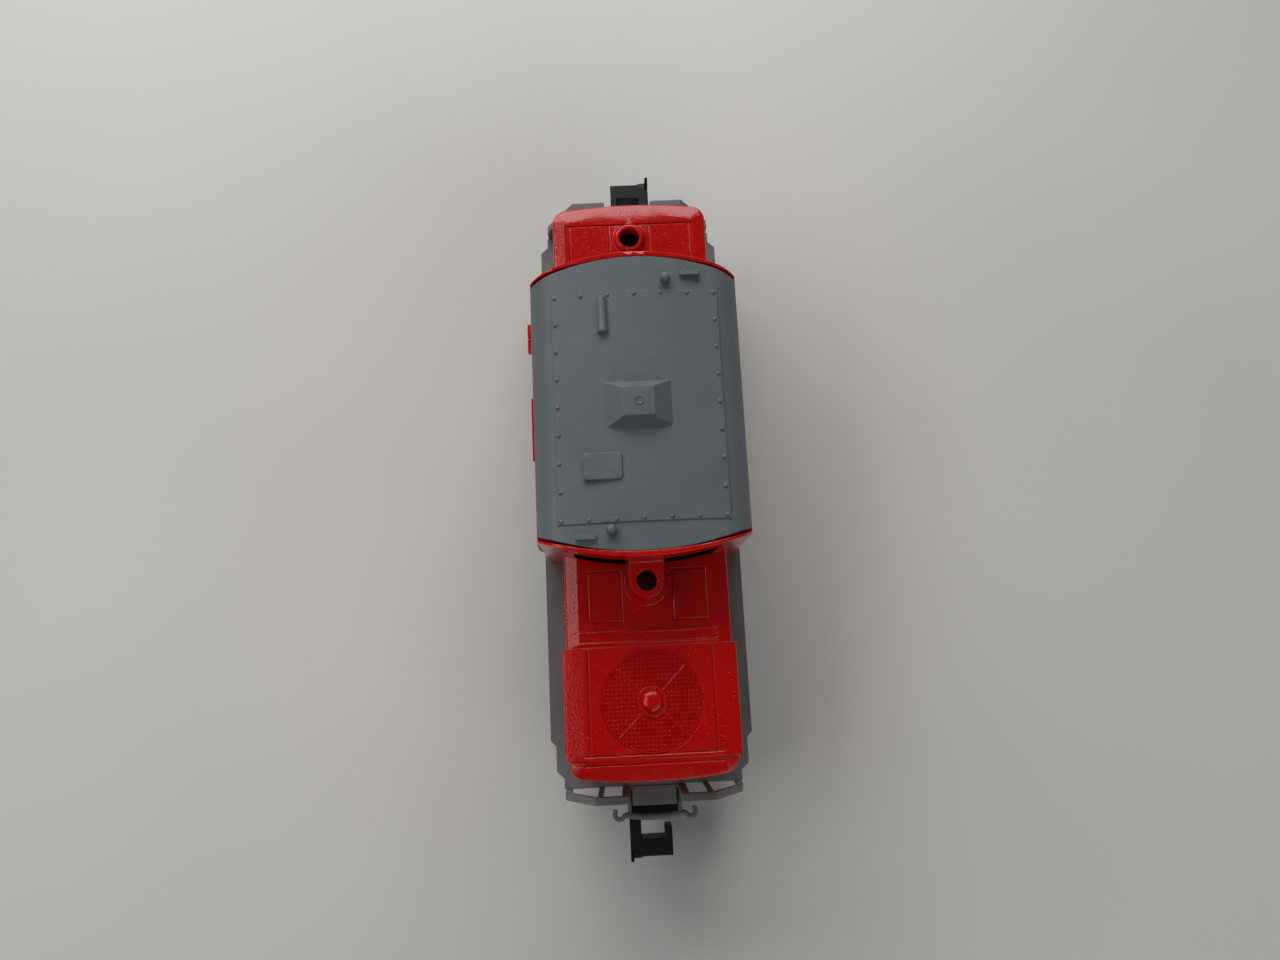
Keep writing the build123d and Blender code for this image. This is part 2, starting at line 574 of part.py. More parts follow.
with BuildPart() as chassis:
    block((-17, 17.3), (-CHASSIS_HALF, CHASSIS_HALF), (CHASSIS_BOTTOM, 8.4))
    block((-17.2, 17.3), (-WIDE_HALF, WIDE_HALF), (8.3, 11.2))
    block((-22.2, -17.2), (-6, 6), (DECK_TOP, WEIGHT_BASE))
    block((-17.6, -13.2), (-6, 6), (8.4, WEIGHT_BASE))
    block((17.2, 22.2), (-6, 6), (DECK_TOP, WEIGHT_BASE))
    block((-12.9, 4.4), (-5.6, 5.6), (11, 13.2))
    block((8.4, 20), (-4.6, 4.6), (11, 17.3))
    # motor seat, shaft and worm space
    rod_x(MOTOR_SEAT_R, (-13.2, 8.4), 0, SHAFT_Z, Mode.SUBTRACT)
    rod_x(2.4, (8, BEARING_X - 0.7), 0, SHAFT_Z, Mode.SUBTRACT)
    rod_x(1.5, (17, 21), 0, SHAFT_Z, Mode.SUBTRACT)
    block((8, BEARING_X - 0.7), (-2.4, 2.4), (SHAFT_Z, 18), Mode.SUBTRACT)
    # slots for the gears and the axle bearings
    block((-15.8, BEARING_X - 0.7), (-GEAR_SLOT, GEAR_SLOT), (0, SHAFT_Z), Mode.SUBTRACT)
    block((15, 18.5), (-GEAR_SLOT, GEAR_SLOT), (5, 13.2), Mode.SUBTRACT)
    for axle_x in AXLE_X:
        bush_x = (axle_x - BUSH_HALF - BUSH_GAP, axle_x + BUSH_HALF + BUSH_GAP)
        block(bush_x, (-4, 4), (0, AXLE_Z + BUSH_HALF + BUSH_GAP), Mode.SUBTRACT)
    # holes for the gear pins, and for the screws
    for x, z in ((-IDLER_X, IDLER_Z), (IDLER_X, IDLER_Z), (WORM_WHEEL_X, WORM_WHEEL_Z)):
        rod_y(PIN_R, x, (-CHASSIS_HALF, CHASSIS_HALF), z, Mode.SUBTRACT)
    rod_y(PIN_R + 0.9, WORM_WHEEL_X, (CHASSIS_HALF, 7), WORM_WHEEL_Z, Mode.SUBTRACT)
    for x in (-SCREW_X, SCREW_X):
        rod_z(0.6, x, 0, (DECK_TOP - 1, DECK_TOP + 2.6), Mode.SUBTRACT)
    for x in (-16.4, 16.4):
        rod_z(0.5, x, 2.4, (CHASSIS_BOTTOM - 1, CHASSIS_BOTTOM + 2.2), Mode.SUBTRACT)
        rod_z(0.5, x, -2.4, (CHASSIS_BOTTOM - 1, CHASSIS_BOTTOM + 2.2), Mode.SUBTRACT)
save(chassis.part, "chassis_block")

KEEPER = (1.6, CHASSIS_BOTTOM)
with BuildPart() as keeper:
    block((-17, 17.3), (-3.3, 3.3), KEEPER)
    for axle_x in AXLE_X:
        saddle = (axle_x - BUSH_HALF, axle_x + BUSH_HALF)
        block(saddle, (-3.3, 3.3), (KEEPER[0], AXLE_Z - BUSH_HALF - BUSH_GAP))
    block((-15.8, 15.8), (-GEAR_SLOT, GEAR_SLOT), (0, 5), Mode.SUBTRACT)
    for x in (-16.4, 16.4):
        for y in (-2.4, 2.4):
            rod_z(0.5, x, y, (0, 3), Mode.SUBTRACT)
save(keeper.part, "keeper_plate")

with BuildPart() as screws:
    for x in (-16.4, 16.4):
        for y in (-2.4, 2.4):
            rod_z(0.5, x, y, (KEEPER[0], CHASSIS_BOTTOM + 1.8))
            rod_z(0.8, x, y, (KEEPER[0] - 0.4, KEEPER[0]))
            block((x - 0.6, x + 0.6), (y - 0.12, y + 0.12), (0.9, 1.35), Mode.SUBTRACT)
    for x in (-SCREW_X, SCREW_X):
        rod_z(0.6, x, 0, (6.6, DECK_TOP + 2.2))
        rod_z(1.05, x, 0, (6.0, 6.6))
        block((x - 0.8, x + 0.8), (-0.14, 0.14), (5.6, 6.25), Mode.SUBTRACT)
save(screws.part, "chassis_screws")

for name, x, foot in (
    ("front_ballast", (20.3, 24.0), (20.8, 22.1)), ("rear_ballast", (-22.0, -16.2), (-21.5, -16.7))
):
    with BuildPart() as ballast:
        block(x, (-6, 6), (WEIGHT_BASE + 0.6, 15.7))
        block(foot, (-5.2, 5.2), (WEIGHT_BASE, WEIGHT_BASE + 0.7))
        edges = ballast.edges().filter_by(Axis.X).group_by(Axis.Z)[-1]
        chamfer(edges, length=0.6)
    save(ballast.part, name)

# ---------------------------------------------------------------- circuit board and its parts
BOARD_Z = 16.0
with BuildPart() as board:
    block((-24.0, -14.2), (-5.6, 5.6), (BOARD_Z, BOARD_Z + 0.6))
    for y in (-4.6, 4.6):
        rod_z(0.5, -15.2, y, (BOARD_Z - 1, BOARD_Z + 1), Mode.SUBTRACT)
save(board.part, "circuit_board")

with BuildPart() as choke:
    for y in (-3.1, 3.1):
        rod_x(0.6, (-22.4, -18.2), y, BOARD_Z + 1.2)
        rod_x(0.22, (-23.2, -17.4), y, BOARD_Z + 1.2)
        for x in (-23.2, -17.4):
            rod_z(0.2, x, y, (BOARD_Z + 0.6, BOARD_Z + 1.3))
    block((-16.9, -14.6), (-1.6, 1.6), (BOARD_Z + 0.6, BOARD_Z + 1.3))
save(choke.part, "suppressor_parts")

# ---------------------------------------------------------------- wheel pickups
for name, side in (("left", 1), ("right", -1)):
    with BuildPart() as pickup:
        strip = (side * CHASSIS_HALF, side * (CHASSIS_HALF + 0.15))
        block((-14.2, 14.2), strip, (6.6, 7.6))
        for axle_x in AXLE_X:
            block((axle_x - 1.5, axle_x - 1.1), strip, (5.7, 6.8))
            block((axle_x + 1.1, axle_x + 1.5), strip, (5.7, 6.8))
        for x in (-IDLER_X, IDLER_X):
            rod_y(1.0, x, (side * 3, side * 4), IDLER_Z, Mode.SUBTRACT)
    save(pickup.part, f"pickup_strip_{name}")

# ---------------------------------------------------------------- gears


def flank_angle(teeth, radius, sign):
    """Angle of a point on an involute flank of a tooth centred on the X axis."""
    pitch_r = MODULE * teeth / 2
    base_r = pitch_r * math.cos(PRESSURE_ANGLE)
    half_tooth = (math.pi * MODULE / 2 - TOOTH_THINNING) / (2 * pitch_r)
    pressure = math.acos(min(1, base_r / radius))
    roll = math.tan(pressure) - pressure
    pitch_roll = math.tan(PRESSURE_ANGLE) - PRESSURE_ANGLE
    return sign * (half_tooth + pitch_roll - roll)


def gear_points(teeth, radius, sign, turn):
    """A flank point turned to its tooth, as a sketch point."""
    angle = flank_angle(teeth, radius, sign) + turn
    return (radius * math.cos(angle), radius * math.sin(angle))


def gear(teeth, x, z, turn, bore):
    """A spur gear lying in the X-Z plane with one tooth centred at the angle `turn`."""
    pitch_r = MODULE * teeth / 2
    tip, root = pitch_r + 0.95 * MODULE, pitch_r - 1.25 * MODULE
    start = max(root + 0.02, pitch_r * math.cos(PRESSURE_ANGLE))
    with BuildPart() as wheel:
        with BuildSketch(Plane(origin=(x, -GEAR_HALF_WIDTH, z), x_dir=(1, 0, 0), z_dir=(0, -1, 0))):
            Circle(root)
            for tooth in range(teeth):
                centre = turn + 2 * math.pi * tooth / teeth
                low = [gear_points(teeth, start, sign, centre) for sign in (-1, 1)]
                middle = [gear_points(teeth, pitch_r, sign, centre) for sign in (-1, 1)]
                high = [gear_points(teeth, tip, sign, centre) for sign in (-1, 1)]
                inner = [(p[0] * (root - 0.1) / start, p[1] * (root - 0.1) / start) for p in low]
                with BuildLine():
                    Line(inner[0], low[0])
                    ThreePointArc(low[0], middle[0], high[0])
                    Line(high[0], high[1])
                    ThreePointArc(high[1], middle[1], low[1])
                    Line(low[1], inner[1])
                    Line(inner[1], inner[0])
                make_face()
            Circle(bore, mode=Mode.SUBTRACT)
        extrude(amount=-2 * GEAR_HALF_WIDTH)
    return wheel.part


def meshing_turn(turn, teeth, other_teeth, direction):
    """Turn that puts a gap of the other gear on this gear's tooth, along `direction`."""
    offset = (math.pi - teeth * (direction - turn)) / other_teeth
    return direction + math.pi - offset


climb = math.atan2(IDLER_Z - AXLE_Z, IDLER_X)
axle_turns = [0.0, 0.0, 0.0]
idler_turns = {
    1: meshing_turn(axle_turns[1], AXLE_TEETH, IDLER_TEETH, climb),
    -1: meshing_turn(axle_turns[1], AXLE_TEETH, IDLER_TEETH, math.pi - climb),
}
axle_turns[2] = meshing_turn(idler_turns[1], IDLER_TEETH, AXLE_TEETH, -climb)
axle_turns[0] = meshing_turn(idler_turns[-1], IDLER_TEETH, AXLE_TEETH, math.pi + climb)
worm_wheel_turn = meshing_turn(
    axle_turns[2], AXLE_TEETH, WORM_WHEEL_TEETH, math.pi / 2 - WORM_WHEEL_LEAN
)

PIN_BORE = PIN_R + RUNNING_GAP
for name, side in (("rear", -1), ("front", 1)):
    idler = gear(IDLER_TEETH, side * IDLER_X, IDLER_Z, idler_turns[side], PIN_BORE)
    save(idler, f"idler_gear_{name}")
worm_wheel = gear(WORM_WHEEL_TEETH, WORM_WHEEL_X, WORM_WHEEL_Z, worm_wheel_turn, PIN_BORE)
save(worm_wheel, "worm_wheel")

with BuildPart() as pins:
    for x, z in ((-IDLER_X, IDLER_Z), (IDLER_X, IDLER_Z), (WORM_WHEEL_X, WORM_WHEEL_Z)):
        rod_y(PIN_R, x, (-CHASSIS_HALF, CHASSIS_HALF), z)
save(pins.part, "gear_pins")

# ---------------------------------------------------------------- wheelsets
BUSH_R = 1.15                      # insulating bush in the right-hand wheel
TYRE_Y = (4.9, 5.5)
TYRE_SEAT_R = 2.85
TYRE_AXLE = 3


def wheel(x, side, bore, grooved):
    """A flanged wheel turned about its axle, dished on both faces."""
    profile = [
        (3.7, bore), (3.7, 1.5), (4.2, 1.8), (4.2, 2.5), (3.7, 2.7), (3.7, 3.85),
        (3.85, FLANGE_R), (4.05, FLANGE_R), (4.35, TREAD_R + 0.1), (4.5, TREAD_R),
        (WHEEL_FACE_Y - 0.1, TREAD_R - 0.04), (WHEEL_FACE_Y, TREAD_R - 0.14),
        (WHEEL_FACE_Y, 2.5), (5.35, 2.35), (5.3, 1.55), (5.8, 1.35), (5.8, bore),
    ]
    with BuildPart() as turned:
        with BuildSketch(Plane.YZ.offset(x)):
            with BuildLine():
                Polyline(*[(side * y, AXLE_Z + r) for y, r in profile], close=True)
            make_face()
        revolve(axis=Axis((x, 0, AXLE_Z), (0, 1, 0)))
        if grooved:
            with Locations((x, side * (TYRE_Y[0] + TYRE_Y[1]) / 2, AXLE_Z)):
                Cylinder(5, TYRE_Y[1] - TYRE_Y[0], rotation=(90, 0, 0), mode=Mode.SUBTRACT)
            rod_y(TYRE_SEAT_R, x, (side * (TYRE_Y[0] - 0.1), side * (TYRE_Y[1] + 0.1)), AXLE_Z)
            rod_y(BUSH_R if side < 0 else AXLE_R, x, (side * 3, side * 7), AXLE_Z, Mode.SUBTRACT)
            rod_y(2.3, x, (side * 5.34, side * 7), AXLE_Z, Mode.SUBTRACT)
            rod_y(1.4, x, (side * 4.5, side * 5.8), AXLE_Z)
            rod_y(BUSH_R if side < 0 else AXLE_R, x, (side * 3, side * 7), AXLE_Z, Mode.SUBTRACT)
    return turned.part


for number, x in enumerate(AXLE_X, 1):
    with BuildPart() as axle:
        rod_y(AXLE_R, x, (-5.75, 5.75), AXLE_Z)
        chamfer(axle.edges().filter_by(GeomType.CIRCLE), length=0.12)
    save(axle.part, f"axle_{number}")
    save(gear(AXLE_TEETH, x, AXLE_Z, axle_turns[number - 1], AXLE_R), f"axle_gear_{number}")
    save(wheel(x, 1, AXLE_R, number == TYRE_AXLE), f"wheel_{number}_left")
    save(wheel(x, -1, BUSH_R, number == TYRE_AXLE), f"wheel_{number}_right")
    with BuildPart() as bush:
        rod_y(BUSH_R, x, (-5.7, -WHEEL_BACK_Y), AXLE_Z)
        rod_y(AXLE_R, x, (-6, -3), AXLE_Z, Mode.SUBTRACT)
    save(bush.part, f"insulating_bush_{number}")

with BuildPart() as tyres:
    for side in (-1, 1):
        rod_y(TREAD_R - 0.01, AXLE_X[2], (side * TYRE_Y[0], side * TYRE_Y[1]), AXLE_Z)
    rod_y(TYRE_SEAT_R, AXLE_X[2], (-7, 7), AXLE_Z, Mode.SUBTRACT)
save(tyres.part, "traction_tyres")

with BuildPart() as bearings:
    for x in AXLE_X:
        for side in (-1, 1):
            bush_z = (AXLE_Z - BUSH_HALF, AXLE_Z + BUSH_HALF)
            block((x - BUSH_HALF, x + BUSH_HALF), (side * 1.2, side * CHASSIS_HALF), bush_z)
        rod_y(AXLE_R + RUNNING_GAP, x, (-4, 4), AXLE_Z, Mode.SUBTRACT)
save(bearings.part, "axle_bearings")

# ---------------------------------------------------------------- motor
CORE_X, CORE_R = (-9.2, -1.2), 3.4
COMMUTATOR_X, COMMUTATOR_R = (-11.3, -10.2), 1.15
MOTOR_BEARING_R = 1.2
CAN_INNER_R = MOTOR_R - CAN_WALL

with BuildPart() as can:
    rod_x(MOTOR_R, MOTOR_X, 0, SHAFT_Z)
    fillet(can.edges().filter_by(GeomType.CIRCLE).sort_by(Axis.X)[-1], radius=0.6)
    rod_x(CAN_INNER_R, (MOTOR_X[0] - 1, MOTOR_X[1] - CAN_WALL), 0, SHAFT_Z, Mode.SUBTRACT)
    rod_x(MOTOR_BEARING_R, (0, 5), 0, SHAFT_Z, Mode.SUBTRACT)
save(can.part, "motor_can")

with BuildPart() as magnets:
    rod_x(CAN_INNER_R, (-9.6, -0.8), 0, SHAFT_Z)
    rod_x(CORE_R + 0.2, (-12, 2), 0, SHAFT_Z, Mode.SUBTRACT)
    block((-12, 2), (-2.2, 2.2), (SHAFT_Z - 5, SHAFT_Z + 5), Mode.SUBTRACT)
save(magnets.part, "motor_magnets")

with BuildPart() as end_plate:
    rod_x(MOTOR_R, (MOTOR_X[0] - 0.6, MOTOR_X[0]), 0, SHAFT_Z)
    rod_x(CAN_INNER_R, (MOTOR_X[0] - 0.1, MOTOR_X[0] + 0.6), 0, SHAFT_Z)
    rod_x(MOTOR_BEARING_R, (-14, -10), 0, SHAFT_Z, Mode.SUBTRACT)
save(end_plate.part, "motor_end_plate")

with BuildPart() as motor_bearings:
    for x in ((MOTOR_X[0] - 0.7, MOTOR_X[0] + 0.4), (MOTOR_X[1] - 0.7, MOTOR_X[1] + 0.3)):
        rod_x(MOTOR_BEARING_R, x, 0, SHAFT_Z)
    rod_x(1.5, (BEARING_X - 0.6, BEARING_X + 0.7), 0, SHAFT_Z)
    rod_x(SHAFT_R + RUNNING_GAP, (-15, 21), 0, SHAFT_Z, Mode.SUBTRACT)
save(motor_bearings.part, "shaft_bearings")

with BuildPart() as brushes:
    for side in (-1, 1):
        brush_z = (SHAFT_Z + side * (COMMUTATOR_R + 0.05), SHAFT_Z + side * 2.1)
        block((-11.15, -10.35), (-0.4, 0.4), brush_z)
save(brushes.part, "motor_brushes")

with BuildPart() as brush_springs:
    for side in (-1, 1):
        leaf_z = (SHAFT_Z + side * 2.1, SHAFT_Z + side * 2.25)
        block((MOTOR_X[0] + 0.6, -10.3), (-0.5, 0.5), leaf_z)
save(brush_springs.part, "brush_springs")

with BuildPart() as shaft:
    rod_x(SHAFT_R, (-13.3, 19.8), 0, SHAFT_Z)
    chamfer(shaft.edges().filter_by(GeomType.CIRCLE), length=0.15)
save(shaft.part, "motor_shaft")

with BuildPart() as core:
    with BuildSketch(Plane(origin=(CORE_X[0], 0, SHAFT_Z), x_dir=(0, 1, 0), z_dir=(1, 0, 0))):
        Circle(CORE_R)
        Circle(2.8, mode=Mode.SUBTRACT)
        with PolarLocations(CORE_R - 0.3, 3, start_angle=60):
            Rectangle(2, 0.9, mode=Mode.SUBTRACT)
        Circle(1.4)
        with PolarLocations(1.6, 3):
            Rectangle(3, 1.2)
        Circle(SHAFT_R, mode=Mode.SUBTRACT)
    extrude(amount=CORE_X[1] - CORE_X[0])
save(core.part, "armature_core")

with BuildPart() as windings:
    coil_plane = Plane(origin=(CORE_X[0] - 0.7, 0, SHAFT_Z), x_dir=(0, 1, 0), z_dir=(1, 0, 0))
    with BuildSketch(coil_plane):
        with PolarLocations(2.02, 3):
            Rectangle(0.95, 2.4)
    extrude(amount=CORE_X[1] - CORE_X[0] + 1.4)
    with BuildSketch(coil_plane.offset(0.7)):
        with PolarLocations(1.6, 3):
            Rectangle(4, 1.2)
    extrude(amount=CORE_X[1] - CORE_X[0], mode=Mode.SUBTRACT)
save(windings.part, "armature_windings")

with BuildPart() as commutator:
    rod_x(COMMUTATOR_R, COMMUTATOR_X, 0, SHAFT_Z)
    with BuildSketch(Plane(origin=(COMMUTATOR_X[0], 0, SHAFT_Z), x_dir=(0, 1, 0), z_dir=(1, 0, 0))):
        with PolarLocations(COMMUTATOR_R, 3, start_angle=60):
            Rectangle(0.3, 0.12)
    extrude(amount=COMMUTATOR_X[1] - COMMUTATOR_X[0], mode=Mode.SUBTRACT)
    rod_x(SHAFT_R, (-12, -10), 0, SHAFT_Z, Mode.SUBTRACT)
save(commutator.part, "commutator")

# The worm's single right-hand thread stands in a gap of the worm wheel under the shaft.
gap_step = 2 * math.pi / WORM_WHEEL_TEETH
gap_turn = worm_wheel_turn + gap_step / 2
gap_turn += gap_step * round((math.pi / 2 - gap_turn) / gap_step)
gap_x = WORM_WHEEL_X + WORM_WHEEL_R * (math.pi / 2 - gap_turn)
THREAD_TURNS = 5
THREAD_ROOT_R = WORM_PITCH_R - 1.3 * MODULE
THREAD_HIGH, THREAD_LOW = 0.9 * MODULE, -1.6 * MODULE
THREAD_TIP_HALF, THREAD_ROOT_HALF = 0.07, 0.25

with BuildPart() as thread:
    with BuildLine():
        helix = Helix(
            WORM_PITCH, WORM_PITCH * THREAD_TURNS, WORM_PITCH_R,
            center=(gap_x - WORM_PITCH * THREAD_TURNS / 2, 0, SHAFT_Z), direction=(1, 0, 0),
        )
    with BuildSketch(Plane(origin=helix @ 0, x_dir=(0, 0, 1), z_dir=helix % 0)):
        with BuildLine():
            Polyline(
                (THREAD_LOW, -THREAD_ROOT_HALF), (THREAD_HIGH, -THREAD_TIP_HALF),
                (THREAD_HIGH, THREAD_TIP_HALF), (THREAD_LOW, THREAD_ROOT_HALF), close=True,
            )
        make_face()
    sweep(path=helix, is_frenet=True)

with BuildPart() as worm:
    rod_x(THREAD_ROOT_R, (gap_x - WORM_LENGTH / 2, gap_x + WORM_LENGTH / 2), 0, SHAFT_Z)
    add(thread.part)
    rod_x(SHAFT_R, (8, 20), 0, SHAFT_Z, Mode.SUBTRACT)
save(worm.part, "worm")

# ---------------------------------------------------------------- couplers
POCKET_Z = (4.2, 7.45)
POCKET_END_X = 30.2
PIVOT_R = 0.6
TRUNNION_R = 0.45
HEAD_Z = (3.9, 7.2)

for name, end in (("front", 1), ("rear", -1)):
    with BuildPart() as pocket:
        block((end * 23.2, end * 29.4), (-2.2, 2.2), POCKET_Z)
        edges = pocket.edges().filter_by(Axis.Z)
        fillet(edges.sort_by(Axis.X)[:2] if end > 0 else edges.sort_by(Axis.X)[-2:], radius=0.8)
        block((end * 27.6, end * POCKET_END_X), (-2.6, 2.6), POCKET_Z)
        block((end * 25.5, end * 31), (-1.5, 1.5), (4.75, 6.95), Mode.SUBTRACT)
        rod_z(PIVOT_R + RUNNING_GAP, end * PIVOT_X, 0, (4, 8), Mode.SUBTRACT)
        rod_y(TRUNNION_R + RUNNING_GAP, end * TILT_X, (-3, 3), TILT_Z, Mode.SUBTRACT)
    save(pocket.part, f"coupler_pocket_{name}")
    with BuildPart() as hook:
        block((end * 25.75, end * 30.4), (-1.2, 1.2), (5.0, 6.1))
        rod_y(TRUNNION_R, end * TILT_X, (-2.1, 2.1), TILT_Z)
        block((end * 30.35, end * 31.2), (-2.5, 2.5), (4.6, 6.4))
        block((end * 31.1, end * 34.9), (end * -2.5, end * -1.4), HEAD_Z)
        block((end * 33.2, end * 34.8), (end * -1.5, end * 1.58), HEAD_Z)
        block((end * 32.2, end * 33.3), (end * 0.9, end * 1.58), HEAD_Z)
        with BuildSketch(Plane.XZ.offset(end * 2.5)):
            with BuildLine():
                Polyline(
                    (end * 34.1, HEAD_Z[1] - 0.2), (end * 35.05, HEAD_Z[0] + 0.6),
                    (end * 35.05, HEAD_Z[1] + 1.1), close=True,
                )
            make_face()
        extrude(amount=-end * 0.32)
    save(hook.part, f"coupler_hook_{name}")
    with BuildPart() as leaf:
        block((end * 27.9, end * 28.4), (-0.8, 0.8), (6.65, 6.95))
        block((end * 27.9, end * 29.3), (-0.8, 0.8), (6.55, 6.68))
    save(leaf.part, f"coupler_spring_{name}")

with BuildPart() as coupler_pins:
    for end in (-1, 1):
        rod_z(PIVOT_R, end * PIVOT_X, 0, (3.8, DECK_TOP))
        rod_z(1.1, end * PIVOT_X, 0, (3.6, POCKET_Z[0] - 0.08))
        rod_z(1.1, end * PIVOT_X, 0, (POCKET_Z[1] + 0.08, DECK_BOTTOM))
save(coupler_pins.part, "coupler_pins")
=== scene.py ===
import json
import math

import bmesh
import bpy
import numpy as np
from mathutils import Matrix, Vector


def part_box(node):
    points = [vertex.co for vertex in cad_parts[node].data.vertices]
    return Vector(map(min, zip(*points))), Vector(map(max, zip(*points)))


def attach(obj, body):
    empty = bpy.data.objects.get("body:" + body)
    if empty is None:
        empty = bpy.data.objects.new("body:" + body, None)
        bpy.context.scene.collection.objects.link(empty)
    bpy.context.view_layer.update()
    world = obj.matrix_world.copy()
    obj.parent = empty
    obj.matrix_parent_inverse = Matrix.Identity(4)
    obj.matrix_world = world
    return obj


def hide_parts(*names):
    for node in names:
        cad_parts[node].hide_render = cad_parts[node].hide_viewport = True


# A 1:160 centre-cab shunting locomotive: red moulded body, grey roof, running boards and
# railings, black couplers, and the geared chassis underneath. Lengths are in millimetres,
# turned to metres by MM where Blender needs them, except in the studio, where they are metres.

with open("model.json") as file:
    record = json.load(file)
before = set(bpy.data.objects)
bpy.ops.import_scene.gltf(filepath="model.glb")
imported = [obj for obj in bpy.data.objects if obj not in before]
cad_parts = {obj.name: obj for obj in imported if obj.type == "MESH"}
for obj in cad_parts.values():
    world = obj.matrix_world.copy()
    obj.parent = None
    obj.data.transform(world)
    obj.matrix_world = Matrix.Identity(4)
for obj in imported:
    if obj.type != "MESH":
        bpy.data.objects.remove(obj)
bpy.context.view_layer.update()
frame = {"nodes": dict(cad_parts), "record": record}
MM = 0.001


# ---------------------------------------------------------------- colours and shader nodes
def linear(code):
    """An sRGB hex colour as the linear red, green, blue and alpha that shaders take."""
    parts = [int(code[i:i + 2], 16) / 255 for i in (1, 3, 5)]
    return [p / 12.92 if p <= 0.04045 else ((p + 0.055) / 1.055) ** 2.4 for p in parts] + [1.0]


def shader_node(tree, kind, inputs=None, **settings):
    """Adds a node: settings are its own properties, inputs are socket values or links."""
    made = tree.nodes.new(kind)
    for name, value in settings.items():
        setattr(made, name, value)
    for name, value in (inputs or {}).items():
        if isinstance(value, bpy.types.NodeSocket):
            tree.links.new(value, made.inputs[name])
        else:
            made.inputs[name].default_value = value
    return made


def blank_material(name):
    """A material with one principled shader, its tree, and object coordinates in metres."""
    material = bpy.data.materials.new(name)
    material.use_nodes = True
    tree = material.node_tree
    tree.nodes.clear()
    surface = shader_node(tree, "ShaderNodeBsdfPrincipled")
    shader_node(tree, "ShaderNodeOutputMaterial", {"Surface": surface.outputs[0]})
    place = shader_node(tree, "ShaderNodeTexCoord").outputs["Object"]
    return material, tree, surface, place


def grain(tree, place, size, detail, stretch=(1, 1, 1)):
    """Noise whose lumps are about `size` millimetres across, from 0 to 1."""
    stretched = shader_node(
        tree, "ShaderNodeMapping", {"Vector": place, "Scale": stretch}
    ).outputs[0]
    return shader_node(
        tree, "ShaderNodeTexNoise",
        {"Vector": stretched, "Scale": 1 / (size * MM), "Detail": detail},
    ).outputs[0]


def spread(tree, value, low, high):
    """Maps the middle of a noise, where nearly all of it lies, to low..high, held at the ends."""
    return shader_node(
        tree, "ShaderNodeMapRange",
        {"Value": value, "From Min": 0.35, "From Max": 0.65, "To Min": low, "To Max": high},
    ).outputs[0]


def blend_colour(tree, factor, first, second):
    """Mixes two colours by a factor from 0 to 1: each is an sRGB hex code or a socket."""
    ends = [linear(end) if isinstance(end, str) else end for end in (first, second)]
    return shader_node(
        tree, "ShaderNodeMix", {"Factor": factor, 6: ends[0], 7: ends[1]}, data_type="RGBA",
    ).outputs[2]


def raise_grain(tree, surface, layers):
    """Bumps the surface by (noise, height in millimetres) layers, one after another."""
    normal = None
    for height, depth in layers:
        inputs = {"Height": height, "Distance": depth * MM, "Strength": 1.0}
        if normal is not None:
            inputs["Normal"] = normal
        normal = shader_node(tree, "ShaderNodeBump", inputs).outputs[0]
    tree.links.new(normal, surface.inputs["Normal"])


# ---------------------------------------------------------------- materials
def specks(tree, place, size, level):
    """A mask of small round spots at the middles of some random cells, which are three times
    `size` millimetres across: those whose random brightness is over 1 - level. Few are at a
    low level, and half are at 0.5. A spot fades out from 0.10 to 0.22 of a cell."""
    cells = shader_node(
        tree, "ShaderNodeTexVoronoi",
        {"Vector": place, "Scale": 1 / (size * 3 * MM), "Randomness": 1.0},
    )
    dots = shader_node(
        tree, "ShaderNodeMapRange",
        {"Value": cells.outputs["Distance"], "From Min": 0.10, "From Max": 0.22,
         "To Min": 1.0, "To Max": 0.0},
    ).outputs[0]
    chosen = shader_node(
        tree, "ShaderNodeMath", {0: cells.outputs["Color"], 1: 1 - level},
        operation="GREATER_THAN",
    ).outputs[0]
    return shader_node(tree, "ShaderNodeMath", {0: dots, 1: chosen}, operation="MULTIPLY").outputs[0]


def red_polystyrene():
    """Moulded polystyrene: a deep glossy red, with a spark-eroded pebble and small pimples
    that break every reflection into specks, and a very little pale dust lying on it."""
    material, tree, surface, place = blank_material("red moulded polystyrene")
    cloud = grain(tree, place, 9, 3)
    pebble = grain(tree, place, 0.14, 2)
    lumps = grain(tree, place, 0.6, 2)
    pimples = specks(tree, place, 0.075, 0.5)
    moulded = blend_colour(tree, spread(tree, cloud, 0, 1), "#B90703", "#C40A05")
    colour = blend_colour(tree, specks(tree, place, 0.1, 0.04), moulded, "#C98A80")
    tree.links.new(colour, surface.inputs["Base Color"])
    tree.links.new(spread(tree, lumps, 0.12, 0.19), surface.inputs["Roughness"])
    surface.inputs["IOR"].default_value = 1.5
    surface.inputs["Subsurface Weight"].default_value = 0.04
    surface.inputs["Subsurface Radius"].default_value = (1.2 * MM, 0.2 * MM, 0.1 * MM)
    surface.inputs["Subsurface Scale"].default_value = 1.0
    raise_grain(tree, surface, [(pebble, 0.02), (lumps, 0.012), (pimples, 0.02)])
    return material


def grey_roof():
    """Moulded polystyrene in a cool mid grey, nearly matt, with a very fine even grain and a
    few pale grains of dust."""
    material, tree, surface, place = blank_material("matt grey polystyrene")
    cloud = grain(tree, place, 7, 3)
    fine = grain(tree, place, 0.14, 2)
    skin = blend_colour(tree, spread(tree, cloud, 0, 1), "#60676A", "#666D6F")
    colour = blend_colour(tree, specks(tree, place, 0.09, 0.07), skin, "#A0A5A3")
    tree.links.new(colour, surface.inputs["Base Color"])
    tree.links.new(spread(tree, fine, 0.42, 0.56), surface.inputs["Roughness"])
    surface.inputs["IOR"].default_value = 1.5
    raise_grain(tree, surface, [(fine, 0.007)])
    return material


